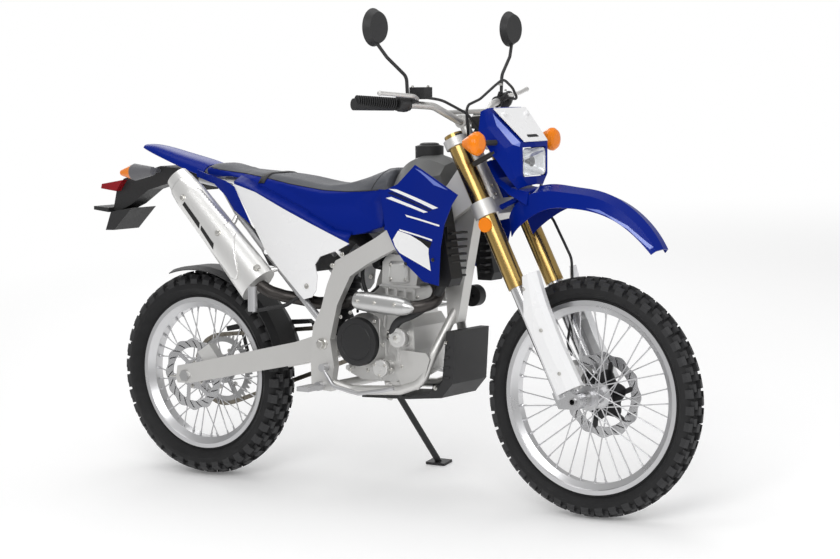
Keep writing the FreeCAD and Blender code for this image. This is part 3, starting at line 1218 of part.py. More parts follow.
# Headlight mask: a blue shell round the lamp, with a white screen over its brow
LENS_HALF_WIDTH = 62.0
LAMP_WINDOW_DEPTH = 60.0
LAMP_DEPTH_share = 0.9
METER_HALF_WIDTH = 60.0
meter_shares = ((0.075, 1.000), (0.125, 0.970), (0.160, 1.010), (0.095, 1.035))
screen_shares = ((0.251, 0.31, 0.866), (0.207, 0.43, 1.012))
lens_shares = ((0.192, 0.762), (0.236, 0.850))

# Stations up the mask: height, then places forward and half widths of the back edge, cheek, corner and middle
mask_station_shares = ((0.735, 0.150, 0.30, 0.166, 0.28, 0.180, 0.20, 0.188),
                       (0.768, 0.155, 0.44, 0.176, 0.43, 0.192, 0.36, 0.197),
                       (0.850, 0.152, 0.55, 0.195, 0.50, 0.232, 0.37, 0.238),
                       (0.868, 0.148, 0.57, 0.195, 0.51, 0.242, 0.36, 0.246),
                       (0.960, 0.138, 0.59, 0.170, 0.55, 0.208, 0.42, 0.213),
                       (1.022, 0.162, 0.49, 0.176, 0.48, 0.188, 0.45, 0.192))


def mask():
    stations = []
    for w, u_back, y_back, u_cheek, y_cheek, u_corner, y_corner, u_mid in mask_station_shares:
        right = [(u_back, -y_back), (u_cheek, -y_cheek), (u_corner, -y_corner)]
        line = [on_fork(u, y, w) for u, y in right] + [on_fork(u_mid, 0, w)]
        line += [on_fork(u, -y, w) for u, y in reversed(right)]
        stations.append(line)
    shell = skin(stations, [FORK_UP * -1] * len(stations), MOULDING, smooth=False, ruled=True)
    low = on_fork(lens_shares[0][0], 0, lens_shares[0][1])
    high = on_fork(lens_shares[1][0], 0, lens_shares[1][1])
    back = (high - low).normalize().cross(LEFT) * LAMP_WINDOW_DEPTH
    if back.x > 0:
        back = back * -1
    side = LEFT * LENS_HALF_WIDTH
    window = plate([low - side, low + side, high + side, high - side], back)
    window = window.fuse(plate([low - side, low + side, high + side, high - side], back * -1))
    keep("headlight_mask", shell.cut(window))
    inner = LEFT * (LENS_HALF_WIDTH - SEAT_GAP)
    rise = (high - low).normalize() * SEAT_GAP
    corners = [low - inner + rise, low + inner + rise, high + inner - rise, high - inner - rise]
    keep("headlight", plate(corners, back * LAMP_DEPTH_share))
    (u_low, half_low, w_low), (u_high, half_high, w_high) = screen_shares
    face_low, width_low = on_fork(u_low, 0, w_low), LEFT * (half_low * BODY_HALF_WIDTH)
    face_high, width_high = on_fork(u_high, 0, w_high), LEFT * (half_high * BODY_HALF_WIDTH)
    normal = (face_high - face_low).normalize().cross(LEFT)
    corners = [face_low - width_low, face_low + width_low, face_high + width_high, face_high - width_high]
    keep("screen", plate(corners, normal * MOULDING).cut(nodes["headlight_mask"]))
    keep("meter", fork_plate(meter_shares, -METER_HALF_WIDTH, METER_HALF_WIDTH))


mask()

# Front fender: one long blue blade over the wheel, held under the lower clamp
FENDER_WALL = 4.0
FENDER_MID_share = 0.25
FENDER_MID_WIDTH_share = 0.80
# Stations along the blade, then up its rear shield: crown forward and up, edge forward and up, half width
fender_station_shares = ((0.072, 0.690, 0.055, 0.604, 0.30), (0.130, 0.722, 0.105, 0.620, 0.35),
                         (0.190, 0.724, 0.165, 0.628, 0.37), (0.246, 0.706, 0.221, 0.626, 0.37),
                         (0.324, 0.658, 0.293, 0.600, 0.35), (0.413, 0.595, 0.378, 0.545, 0.31),
                         (0.475, 0.518, 0.440, 0.480, 0.28), (0.517, 0.420, 0.485, 0.395, 0.25),
                         (0.529, 0.336, 0.505, 0.330, 0.22))
fender_shield_shares = ((0.190, 0.722, 0.165, 0.670, 0.36), (0.132, 0.757, 0.118, 0.735, 0.37),
                        (0.100, 0.805, 0.092, 0.795, 0.36), (0.090, 0.875, 0.085, 0.870, 0.33))


def fender_skin(station_shares, ruled):
    stations = []
    axes = []
    for u, w, u_edge, w_edge, half in station_shares:
        u_mid = u + (u_edge - u) * FENDER_MID_share
        w_mid = w + (w_edge - w) * FENDER_MID_share
        bend = half * FENDER_MID_WIDTH_share
        stations.append([on_fork(u_edge, -half, w_edge), on_fork(u_mid, -bend, w_mid), on_fork(u, 0, w),
                         on_fork(u_mid, bend, w_mid), on_fork(u_edge, half, w_edge)])
        axes.append(LEFT.cross(on_fork(u, 0, w) - on_fork(u_edge, 0, w_edge)).normalize())
    return skin(stations, axes, FENDER_WALL, smooth=False, ruled=ruled)


def front_fender():
    blade = fender_skin(fender_station_shares, False)
    shield = fender_skin(fender_shield_shares, True)
    keep("front_fender", fused(blade, shield))


front_fender()

# Front signals, fork reflectors and horn
front_signal_share = (0.176, 1.02, 0.900)
SIGNAL_BODY_LENGTH = 44.0
signal_profile_shares = ((-1.0, 0.36), (-0.35, 0.86), (-0.10, 1.0), (0.06, 1.0), (0.26, 0.82), (0.36, 0.50))
SIGNAL_STALK_share = 0.54
REFLECTOR_UP_share = 0.665
REFLECTOR_RADIUS = 21.0
HORN_RADIUS = 32.0
horn_share = (0.905, 0.44, 0.625)


def lights():
    centre = on_fork(*front_signal_share)
    profile = [(r * SIGNAL_RADIUS, a * SIGNAL_BODY_LENGTH) for a, r in signal_profile_shares]
    profile = [(0, profile[0][1])] + profile + [(0, profile[-1][1])]
    lens = turned(profile, centre, FORWARD)
    foot = on_fork(front_signal_share[0], SIGNAL_STALK_share, front_signal_share[2])
    stalk = rod(foot, centre - FORWARD * (SIGNAL_BODY_LENGTH / 2), STALK_RADIUS)
    tube_edge = FORK_TUBE_Y + FORK_TUBE_RADIUS
    spot = fork_at(FORK_TUBE_FORWARD, tube_edge + SEAT_GAP, REFLECTOR_UP_share * FORK_LENGTH)
    stalk = max(stalk.cut(nodes["headlight_mask"]).Solids, key=lambda solid: solid.Volume)
    reflector = rod(spot, spot + LEFT * REFLECTOR_DEPTH, REFLECTOR_RADIUS)
    keep("front_signals", both(Part.makeCompound([fused(lens, stalk), reflector])))
    horn = on_frame(*horn_share)
    keep("horn", rod(horn, horn + LEFT * HORN_RADIUS, HORN_RADIUS))


lights()

# Brake calipers astride their discs
CALIPER_HALF = 18.0
CALIPER_LENGTH = 74.0
PAD_GAP = 2.0
CALIPER_REACH_share = 0.62
CALIPER_TAPER_share = 0.8
FRONT_CALIPER_ANGLE = 150.0
REAR_CALIPER_ANGLE = 40.0


def caliper(axle, disc_near_y, disc_radius, turn_angle, inner_y, outer_y):
    turn = math.radians(turn_angle)
    out = Vector(math.cos(turn), 0, math.sin(turn))
    along = out.cross(LEFT)
    low, high = min(inner_y, outer_y), max(inner_y, outer_y)
    near = axle + out * (disc_radius * CALIPER_REACH_share) + LEFT * low
    far = axle + out * (disc_radius + 2 * OVERRUN) + LEFT * low
    half = along * (CALIPER_LENGTH / 2)
    tip = half * CALIPER_TAPER_share
    block = plate([near - half, near + half, far + tip, far - tip], LEFT * (high - low))
    far_y = disc_near_y + DISC_THICKNESS + PAD_GAP
    slot = crossways(axle, disc_near_y - PAD_GAP, far_y, disc_radius + PAD_GAP)
    return block.cut(slot)


def calipers():
    front = caliper(FRONT_AXLE, front_disc_y, FRONT_DISC_RADIUS, FRONT_CALIPER_ANGLE,
                    front_disc_y - CALIPER_HALF, LUG_INNER_Y)
    keep("front_caliper", front.cut(nodes["fork_sliders"]))
    rear = caliper(REAR_AXLE, rear_disc_y, REAR_DISC_RADIUS, REAR_CALIPER_ANGLE,
                   rear_disc_y + CALIPER_HALF, SWINGARM_WALL - SWINGARM_OUTER_Y)
    keep("rear_caliper", rear.cut(nodes["swingarm"]))


calipers()

# Brake hose and clutch cable, each from its lever round the front of the bar
HOSE_RADIUS = 4.0
CABLE_BEND = 60.0
hose_shares = ((0.062, -1.04, 1.128), (0.098, -0.90, 1.100), (0.108, -0.46, 1.040), (0.104, -0.30, 0.965),
               (0.098, 0.10, 0.915), (0.084, 0.40, 0.865), (0.086, 0.47, 0.790), (0.100, 0.475, 0.710),
               (0.126, 0.475, 0.620), (0.142, 0.40, 0.470), (0.078, 0.355, 0.315), (0.000, 0.355, 0.215),
               (0.000, 0.355, 0.170))
cable_shares = ((0.060, 1.16, 1.120), (0.100, 1.10, 1.090), (0.126, 0.90, 1.125), (0.147, 0.60, 1.151),
                (0.142, 0.30, 1.125), (0.112, 0, 1.092), (0.113, -0.45, 1.068), (0.085, -0.42, 1.010),
                (0.040, -0.24, 0.975))


def hoses():
    hose = tube([on_fork(*p) for p in hose_shares], HOSE_RADIUS, CABLE_BEND)
    cable = tube([on_fork(*p) for p in cable_shares], HOSE_RADIUS, CABLE_BEND)
    for carrier in ("front_caliper", "controls", "triple_clamps"):
        hose, cable = hose.cut(nodes[carrier]), cable.cut(nodes[carrier])
    keep("control_lines", Part.makeCompound([hose, cable]))


hoses()

# Bosses and straps: each joins a piece to the one that carries it, on the right and mirrored on the left
THIN_BOSS = 6.0
BOSS = 8.0
TANK_BOSS = 14.0
frame_bosses = (("fuel_tank", "main_frame", (0.8325, -0.30, 0.920), (0.847, -0.425, 0.889), TANK_BOSS),
                ("side_covers", "rear_subframe", (0.332, -0.68, 0.754), (0.323, -0.58, 0.746), BOSS),
                ("side_covers", "main_frame", (0.594, -0.75, 0.773), (0.612, -0.66, 0.745), THIN_BOSS),
                ("radiators", "main_frame", (0.904, -0.45, 0.908), (0.902, -0.34, 0.910), BOSS),
                ("radiator_shrouds", "radiators", (0.900, -0.82, 0.912), (0.912, -0.66, 0.908), THIN_BOSS),
                ("radiator_shrouds", "main_frame", (0.764, -0.71, 0.844), (0.760, -0.57, 0.839), THIN_BOSS),
                ("skid_plate", "main_frame", (0.777, -0.43, 0.322), (0.773, -0.50, 0.345), BOSS),
                ("inner_fender", "swingarm", (0.302, -0.34, 0.4405), (0.302, -0.49, 0.4405), THIN_BOSS))
right_bosses = (("muffler", "rear_subframe", (0.325, -0.76, 0.690), (0.375, -0.56, 0.705), BOSS),
                ("muffler", "rear_subframe", (0.190, -0.64, 0.815), (0.202, -0.49, 0.872), BOSS))
left_bosses = (("horn", "main_frame", (0.905, 0.46, 0.625), (0.909, 0.06, 0.619), THIN_BOSS),
               ("chain_guard", "swingarm", (0.335, 0.44, 0.512), (0.350, 0.50, 0.455), THIN_BOSS),
               ("chain_guard", "swingarm", (0.060, 0.44, 0.488), (0.075, 0.50, 0.395), THIN_BOSS))
fork_bosses = (("fork_guards", "fork_sliders", (0.068, -0.66, 0.280), (0.060, -0.54, 0.280), BOSS),
               ("headlight_mask", "fork_tubes", (0.162, -0.54, 0.872), (0.045, -0.51, 0.875), BOSS),
               ("screen", "headlight_mask", (0.2255, -0.30, 0.985), (0.198, -0.30, 0.985), THIN_BOSS),
               ("meter", "triple_clamps", (0.085, -0.20, 0.995), (0.035, -0.20, 0.970), THIN_BOSS),
               ("front_fender", "triple_clamps", (0.122, -0.20, 0.712), (0.040, -0.20, 0.715), BOSS))
hose_bosses = (("control_lines", "fork_sliders", (0.100, 0.38, 0.375), (0.060, 0.46, 0.375), THIN_BOSS),)


def joined(name, carrier, start, boss):
    """Fuses a boss, trimmed where it meets the carrier, to the solid of a node that it starts in."""
    foot = Part.Vertex(start)
    boss = min(boss.cut(nodes[carrier]).Solids, key=lambda solid: solid.distToShape(foot)[0])
    solids = list(nodes[name].Solids)
    near = min(range(len(solids)), key=lambda k: solids[k].distToShape(foot)[0])
    solids[near] = fused(solids[near], boss)
    keep(name, Part.makeCompound(solids) if len(solids) > 1 else solids[0])


def bosses(table, place, end_place, pair):
    for name, carrier, start, end, radius in table:
        foot = place(*start)
        boss = rod(foot, end_place(*end), radius)
        joined(name, carrier, foot, boss)
        if pair:
            joined(name, carrier, Vector(foot.x, -foot.y, foot.z), mirrored(boss))


bosses(frame_bosses, on_frame, on_chassis, True)
bosses(right_bosses, on_frame, on_chassis, False)
bosses(left_bosses, on_frame, on_chassis, False)
bosses(fork_bosses, on_fork, on_fork, True)
bosses(hose_bosses, on_fork, on_fork, False)

# Side stand: a leg that swings down from the left of the cradle onto its foot
STAND_FOOT = (70.0, 46.0, 8.0)


def side_stand():
    leg = rod(stand_pivot, stand_foot + FLOOR_NORMAL * (STAND_FOOT[2] / 2), STAND_RADIUS)
    along = FORWARD * (STAND_FOOT[0] / 2)
    across = FORWARD.cross(FLOOR_NORMAL) * (STAND_FOOT[1] / 2)
    pad = plate([stand_foot - along - across, stand_foot + along - across, stand_foot + along + across,
                 stand_foot - along + across], FLOOR_NORMAL * STAND_FOOT[2])
    half_eye = stand_axis * (STAND_EYE_LENGTH / 2)
    eye = rod(stand_pivot - half_eye, stand_pivot + half_eye, STAND_EYE_RADIUS)
    hole = rod(stand_pivot - half_eye * 2, stand_pivot + half_eye * 2, STAND_PIN_RADIUS + RUNNING_GAP)
    below = rod(stand_foot, stand_foot - FLOOR_NORMAL * STAND_FOOT[0], 2 * STAND_FOOT[0])
    keep("side_stand", fused(leg, pad, eye).cut(below).cut(hole))


side_stand()

# The machine parked: leaning to its left until both tyres and the stand's foot meet the floor
def parked(shape):
    turned_shape = shape.copy()
    turned_shape.rotate(Vector(0, 0, 0), FORWARD, -PARKED_LEAN)
    return turned_shape


leaning = {name: parked(shape) for name, shape in nodes.items()}
box = FreeCAD.BoundBox()
for shape in leaning.values():
    box.add(shape.optimalBoundingBox(True, False))
origin = Vector((box.XMin + box.XMax) / 2, (box.YMin + box.YMax) / 2, box.ZMin)
for name, shape in leaning.items():
    shape.translate(origin * -1)
    shape.exportStep("parts/" + name + ".step")
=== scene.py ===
import bpy
import bmesh
import json
import math
from mathutils import Matrix, Vector
from mathutils.bvhtree import BVHTree


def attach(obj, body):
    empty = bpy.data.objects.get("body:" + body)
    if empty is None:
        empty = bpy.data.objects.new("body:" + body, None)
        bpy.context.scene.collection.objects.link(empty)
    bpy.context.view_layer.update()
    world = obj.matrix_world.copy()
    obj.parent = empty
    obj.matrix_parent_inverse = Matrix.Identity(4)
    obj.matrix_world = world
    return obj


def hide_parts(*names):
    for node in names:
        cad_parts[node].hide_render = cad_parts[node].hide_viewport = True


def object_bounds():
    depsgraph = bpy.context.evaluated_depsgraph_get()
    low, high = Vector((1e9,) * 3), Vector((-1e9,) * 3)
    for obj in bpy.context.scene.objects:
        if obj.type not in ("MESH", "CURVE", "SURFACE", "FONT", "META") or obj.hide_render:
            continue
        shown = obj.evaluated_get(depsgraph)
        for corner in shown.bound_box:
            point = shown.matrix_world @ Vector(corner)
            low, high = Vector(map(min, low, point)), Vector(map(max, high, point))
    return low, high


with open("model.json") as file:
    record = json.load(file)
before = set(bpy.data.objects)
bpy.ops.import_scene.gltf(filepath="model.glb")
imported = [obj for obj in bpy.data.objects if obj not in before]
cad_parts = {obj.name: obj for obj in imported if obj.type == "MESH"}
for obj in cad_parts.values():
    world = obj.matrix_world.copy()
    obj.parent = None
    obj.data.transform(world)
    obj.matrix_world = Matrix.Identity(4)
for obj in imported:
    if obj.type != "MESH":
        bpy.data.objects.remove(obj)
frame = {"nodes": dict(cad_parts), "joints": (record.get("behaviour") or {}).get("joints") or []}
cad_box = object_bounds()

# Studio: a sweep of white paper under the machine, four soft lamps and the camera. The machine is
# modelled upright, in metres from the floor under its rear axle, and then laid over on its side stand
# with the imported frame. The camera leans with it, because the photograph shows the machine upright.
REAR_AXLE_HEIGHT = 0.3245
PARKED_LEAN = math.radians(9.0)
FLOOR_HALF = 14.0
FLOOR_DROP = 0.001
PAPER_COLOUR = (0.93, 0.93, 0.93, 1)
PAPER_GLOW = 0.12
SHADOW_RADIUS = 2.6
WHITE_RADIUS = 4.2
WALL_LIGHT = 0.50
LIT_MIDDLE = Vector((0.0, 0.0, 0.6))
rear_hinge = next(joint for joint in frame["joints"] if joint["name"] == "rear_wheel_spin")
parked = (Matrix.Translation(rear_hinge["pos_m"]) @ Matrix.Rotation(-PARKED_LEAN, 4, "X")
          @ Matrix.Translation((0, 0, -REAR_AXLE_HEIGHT)))


def node(owner, kind, values=None, **settings):
    made = owner.node_tree.nodes.new(kind)
    for name, value in settings.items():
        setattr(made, name, value)
    for socket, value in (values or {}).items():
        made.inputs[socket].default_value = value
    return made


def wire(owner, *pairs):
    for source, target in pairs:
        owner.node_tree.links.new(source, target)


def put(name, data):
    made = bpy.data.objects.new(name, data)
    bpy.context.scene.collection.objects.link(made)
    return made


def sweep_paper():
    """Pale paper that keeps the machine's shadow near it and runs out to plain white."""
    made = bpy.data.materials.new("sweep_paper")
    made.use_nodes = True
    made.node_tree.nodes.clear()
    diffuse = node(made, "ShaderNodeBsdfDiffuse", {"Color": PAPER_COLOUR})
    glow = node(made, "ShaderNodeEmission", {"Strength": PAPER_GLOW})
    near = node(made, "ShaderNodeAddShader")
    white = node(made, "ShaderNodeEmission", {"Strength": 1.0})
    place = node(made, "ShaderNodeTexCoord")
    reach = node(made, "ShaderNodeVectorMath", operation="LENGTH")
    fade = node(made, "ShaderNodeMapRange", {"From Min": SHADOW_RADIUS, "From Max": WHITE_RADIUS},
                interpolation_type="SMOOTHSTEP")
    path = node(made, "ShaderNodeLightPath")
    seen = node(made, "ShaderNodeMath", operation="MULTIPLY")
    both = node(made, "ShaderNodeMixShader")
    out = node(made, "ShaderNodeOutputMaterial")
    wire(made, (diffuse.outputs[0], near.inputs[0]), (glow.outputs[0], near.inputs[1]),
         (place.outputs["Object"], reach.inputs[0]), (reach.outputs["Value"], fade.inputs["Value"]),
         (fade.outputs["Result"], seen.inputs[0]), (path.outputs["Is Camera Ray"], seen.inputs[1]),
         (seen.outputs[0], both.inputs[0]), (near.outputs[0], both.inputs[1]),
         (white.outputs[0], both.inputs[2]), (both.outputs[0], out.inputs["Surface"]))
    return made


floor_z = cad_box[0][2] - FLOOR_DROP
floor_mesh = bpy.data.meshes.new("studio_floor")
floor_mesh.from_pydata([(x * FLOOR_HALF, y * FLOOR_HALF, floor_z)
                        for x, y in ((-1, -1), (1, -1), (1, 1), (-1, 1))], [], [(0, 1, 2, 3)])
floor_mesh.materials.append(sweep_paper())
put("studio_floor", floor_mesh)

# The walls light the machine at half strength, and look plain white to the camera and through glass
world = bpy.data.worlds.new("studio")
world.use_nodes = True
bpy.context.scene.world = world
path = node(world, "ShaderNodeLightPath")
seen = node(world, "ShaderNodeMath", operation="MAXIMUM")
strength = node(world, "ShaderNodeMapRange", {"To Min": WALL_LIGHT, "To Max": 1.0})
backdrop = world.node_tree.nodes["Background"]
backdrop.inputs["Color"].default_value = (1, 1, 1, 1)
wire(world, (path.outputs["Is Camera Ray"], seen.inputs[0]),
     (path.outputs["Is Transmission Ray"], seen.inputs[1]), (seen.outputs[0], strength.inputs["Value"]),
     (strength.outputs["Result"], backdrop.inputs["Strength"]))

for name, place, width, height, watts in (
        ("key_light", (1.6, -3.4, 3.6), 3.0, 2.0, 75), ("fill_light", (4.2, -0.6, 1.8), 2.4, 2.4, 25),
        ("top_light", (-0.6, 0.6, 4.2), 4.0, 3.0, 60), ("back_light", (-3.0, 2.6, 2.4), 2.6, 2.0, 25)):
    softbox = bpy.data.lights.new(name, "AREA")
    softbox.shape = "RECTANGLE"
    softbox.size, softbox.size_y, softbox.energy = width, height, watts
    lamp = put(name, softbox)
    lamp.location = place
    lamp.rotation_euler = (LIT_MIDDLE - Vector(place)).to_track_quat("-Z", "Y").to_euler()

# The camera's place and heading were fitted to the photograph's two wheels
CAMERA_PLACE = Vector((4.778, -5.756, 1.303))
CAMERA_HEADING = math.radians(124.37)
CAMERA_PITCH = math.radians(-5.40)
CAMERA_ROLL = math.radians(-0.49)
CAMERA_LENS = 100.7
SENSOR_WIDTH = 36
PHOTO_WIDTH, PHOTO_HEIGHT = 840, 559
PHOTO_CENTRE = (425.7, 284.0)
ahead = Vector((math.cos(CAMERA_HEADING) * math.cos(CAMERA_PITCH),
                math.sin(CAMERA_HEADING) * math.cos(CAMERA_PITCH), math.sin(CAMERA_PITCH)))
camera_data = bpy.data.cameras.new("photo_camera")
camera_data.lens = CAMERA_LENS
camera_data.sensor_width = SENSOR_WIDTH
camera_data.shift_x = (PHOTO_WIDTH / 2 - PHOTO_CENTRE[0]) / PHOTO_WIDTH
camera_data.shift_y = (PHOTO_CENTRE[1] - PHOTO_HEIGHT / 2) / PHOTO_WIDTH
camera = put("photo_camera", camera_data)
camera.matrix_world = (parked @ Matrix.Translation(CAMERA_PLACE)
                       @ ahead.to_track_quat("-Z", "Y").to_matrix().to_4x4()
                       @ Matrix.Rotation(CAMERA_ROLL, 4, "Z"))
bpy.context.scene.camera = camera
bpy.context.scene.view_settings.view_transform = "Standard"

# Tyres: off-road tyres of black rubber, each moulded in one piece and stretched over its rim. Rows of
# square knobs stand on a rounded carcass, which swells out past the rim, with a fine rib at the bead.
LEFT = Vector((0, 1, 0))
FRONT_AXLE = Vector((1.42, 0, 0.3465))
REAR_AXLE = Vector((0, 0, REAR_AXLE_HEIGHT))
HOOP_SIDES = 120
KNOB_HEIGHT = 0.013
KNOB_FLARE = 0.0012
# The bead's rib: its rise from the rim's edge, and how far it stands out past the rim
BEAD_RIB = ((0, -0.0006), (0.0135, -0.0006), (0.0150, 0.0016), (0.0180, 0.0018), (0.0195, 0.0006))
# The carcass: shares of the tyre's height, and of its width out from the middle
CARCASS = ((0.32, 0.400), (0.44, 0.474), (0.53, 0.466), (0.63, 0.430), (0.70, 0.365), (0.77, 0.250))
CROWN_SHARE = 0.100
# The knobs' tips: flat in the middle, then shares of the width and of the height
TREAD_FLAT = 0.010
TREAD_SHOULDER = ((0.42, 0.84), (0.485, 0.46))
COAT_ROUGHNESS = 0.06
GRAIN_HEIGHT = 0.0008
GLOSS_SPREAD = 0.08
SMOOTHEST = 0.03


def finish(name, colour, metal=0.0, rough=0.4, coat=0.0, grain=350.0, depth=0.1, fade=0.1, patch=9.0,
           stretch=(1, 1, 1), shine=0.5):
    """A surface with its own fine grain, slow patches of tint and uneven gloss."""
    made = bpy.data.materials.new(name)
    made.use_nodes = True
    shader = made.node_tree.nodes["Principled BSDF"]
    for socket, value in (("Metallic", metal), ("Coat Weight", coat), ("Coat Roughness", COAT_ROUGHNESS),
                          ("Specular IOR Level", shine)):
        shader.inputs[socket].default_value = value
    place = node(made, "ShaderNodeTexCoord")
    scale = node(made, "ShaderNodeMapping", {"Scale": stretch})
    fine = node(made, "ShaderNodeTexNoise", {"Scale": grain, "Detail": 4})
    slow = node(made, "ShaderNodeTexNoise", {"Scale": patch, "Detail": 5})
    bump = node(made, "ShaderNodeBump", {"Strength": depth, "Distance": GRAIN_HEIGHT})
    gloss = node(made, "ShaderNodeMapRange", {"To Min": max(SMOOTHEST, rough - GLOSS_SPREAD),
                                              "To Max": rough + GLOSS_SPREAD})
    tint = node(made, "ShaderNodeMix", {"A": (*colour, 1), "B": (*[c * (1 - fade) for c in colour], 1)},
                data_type="RGBA")
    wire(made, (place.outputs["Object"], scale.inputs["Vector"]),
         (scale.outputs["Vector"], fine.inputs["Vector"]), (place.outputs["Object"], slow.inputs["Vector"]),
         (fine.outputs["Fac"], bump.inputs["Height"]), (bump.outputs["Normal"], shader.inputs["Normal"]),
         (slow.outputs["Fac"], gloss.inputs["Value"]), (gloss.outputs["Result"], shader.inputs["Roughness"]),
         (slow.outputs["Fac"], tint.inputs["Factor"]), (tint.outputs["Result"], shader.inputs["Base Color"]))
    return made


def dress(material, *names):
    for name in names:
        for place in frame["nodes"][name].material_slots:
            place.link = "OBJECT"
            place.material = material


def joined(forms):
    points, faces = [], []
    for more_points, more_faces in forms:
        faces += [tuple(k + len(points) for k in face) for face in more_faces]
        points += more_points
    return points, faces


def fitted(name, forms, material, body, crease=30):
    """A piece of the upright machine, laid over with it and carried by one of its bodies."""
    points, faces = joined(forms)
    mesh = bpy.data.meshes.new(name)
    mesh.from_pydata([parked @ point for point in points], [], faces)
    mesh.shade_smooth()
    mesh.set_sharp_from_angle(angle=math.radians(crease))
    mesh.materials.append(material)
    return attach(put(name, mesh), body)


def lofted(rings, hoop=False, open_foot=False):
    """A skin from ring to ring of points, closed by its ends unless its foot is open or it is a hoop."""
    count = len(rings[0])
    rows = len(rings) if hoop else len(rings) - 1
    faces = []
    for row in range(rows):
        low, high = row * count, (row + 1) % len(rings) * count
        faces += [(low + k, low + (k + 1) % count, high + (k + 1) % count, high + k) for k in range(count)]
    if not hoop:
        faces.append(tuple(range(rows * count, (rows + 1) * count)))
        if not open_foot:
            faces.append(tuple(reversed(range(count))))
    return [point for ring in rings for point in ring], faces


def turned(profile, foot, along, sides=24, hoop=False):
    """Turned about an axis from pairs of reach along it and radius."""
    along = Vector(along).normalized()
    across = along.orthogonal().normalized()
    aside = along.cross(across)
    turns = [2 * math.pi * k / sides for k in range(sides)]
    return lofted([[Vector(foot) + along * reach + (across * math.cos(turn) + aside * math.sin(turn)) * radius
                    for turn in turns] for reach, radius in profile], hoop)


def about(centre, turn, radius, y=0.0):
    """A point beside a wheel, by its turn about the axle, its radius and how far left it lies."""
    return Vector(centre) + Vector((math.cos(turn) * radius, y, math.sin(turn) * radius))


def read_off(line, way):
    """The height of a line of straight runs at one place along it."""
    for (near, low), (far, high) in zip(line, line[1:]):
        if way <= far:
            return low + (high - low) * (way - near) / (far - near)
    return line[-1][1]


def knob(centre, tread, turn, sweep, near, far, side):
    """One block, wider at its foot, with its top on the tyre's outline."""
    rings = []
    for lift, margin in ((-KNOB_HEIGHT, KNOB_FLARE), (0, 0)):
        start, end = turn - margin / tread[0][1], turn + sweep + margin / tread[0][1]
        rings.append([about(centre, angle, read_off(tread, y) + lift, side * y)
                      for angle, y in ((start, near - margin), (end, near - margin), (end, far + margin),
                                       (start, far + margin))])
    return lofted(rings if side > 0 else rings[::-1])


def block_tyre(end, centre, radius, width, bead_radius, rim_width, pitches, rows):
    height = radius - bead_radius
    half = [(rim_width / 2 + out, bead_radius + rise) for rise, out in BEAD_RIB]
    half += [(out * width, bead_radius + rise * height) for rise, out in CARCASS]
    half.append((CROWN_SHARE * width, radius - KNOB_HEIGHT))
    section = half + [(-y, reach) for y, reach in reversed(half)]
    tread = [(0, radius), (TREAD_FLAT, radius)]
    tread += [(out * width, bead_radius + rise * height) for out, rise in TREAD_SHOULDER]
    pitch = 2 * math.pi / pitches
    knobs = [knob(centre, tread, (k + start + shift) * pitch, length * pitch, near, far, side)
             for near, far, start, length in rows for k in range(pitches)
             for side, shift in ((1, 0), (-1, 0.5))]
    fitted(f"{end}_block_tyre_knobs", knobs, painted_light_knob_rubber, f"{end}_wheel")
    tyre = fitted(f"{end}_block_tyre", [turned(section, centre, LEFT, HOOP_SIDES, hoop=True)], tyre_rubber,
                  f"{end}_wheel")
    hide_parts(f"{end}_tyre")


tyre_rubber = finish("tyre_rubber", (0.018, 0.018, 0.019), rough=0.66, grain=420, depth=0.5, fade=0.45,
                     patch=30, shine=0.3)
# The knobs get a lighter rubber than the carcass, though both are one moulding: painted light on the knobs
painted_light_knob_rubber = finish("painted_light_knob_rubber", (0.026, 0.026, 0.028), rough=0.55, grain=420, depth=0.5, fade=0.5,
                     patch=40)
# Radius, width, bead radius, rim width and pitches round. Then each row of knobs: its inner and outer
# edge from the middle, and its start and length in pitches
block_tyre("front", FRONT_AXLE, 0.3465, 0.086, 0.2667, 0.046, 44,
           ((0.0025, 0.0145, 0.0, 0.50), (0.0180, 0.0260, 0.35, 0.46), (0.0290, 0.0370, 0.0, 0.52)))
block_tyre("rear", REAR_AXLE, 0.3245, 0.122, 0.2286, 0.062, 38,
           ((0.0030, 0.0210, 0.0, 0.50), (0.0250, 0.0370, 0.35, 0.46), (0.0410, 0.0530, 0.0, 0.52)))

# Rims and spokes: rolled aluminium rims on cast hubs, laced with 36 crossed steel spokes a wheel. Each
# spoke hooks into its hub's flange and is pulled tight by a nipple in the rim's well.
SPOKES = 36
SPOKE_LEAN = math.radians(55)
NIPPLE = ((0, 0.0042), (0.003, 0.0042), (0.0055, 0.0031), (0.014, 0.0027))
NIPPLE_OFFSET = 0.004
rim_alloy = finish("rim_alloy", (0.70, 0.70, 0.71), metal=1.0, rough=0.30, grain=600, depth=0.06)
hub_alloy = finish("hub_alloy", (0.68, 0.68, 0.69), metal=1.0, rough=0.38, grain=500, depth=0.12)
dress(rim_alloy, "front_rim", "rear_rim")
dress(hub_alloy, "front_hub", "rear_hub")
for end, centre, rim_radius, hub_radius, flange_y in (("front", FRONT_AXLE, 0.2475, 0.036, 0.0325),
                                                      ("rear", REAR_AXLE, 0.2094, 0.042, 0.0385)):
    nipples = []
    for k in range(SPOKES):
        side = 1 if k % 2 else -1
        turn = 2 * math.pi * k / SPOKES
        hub_turn = turn + (SPOKE_LEAN if (k // 2) % 2 else -SPOKE_LEAN)
        head = about(centre, turn, rim_radius, side * NIPPLE_OFFSET)
        foot = about(centre, hub_turn, hub_radius, side * flange_y)
        nipples.append(turned(NIPPLE, head, foot - head, 8))
    fitted(f"{end}_nipples", nipples, rim_alloy, f"{end}_wheel")

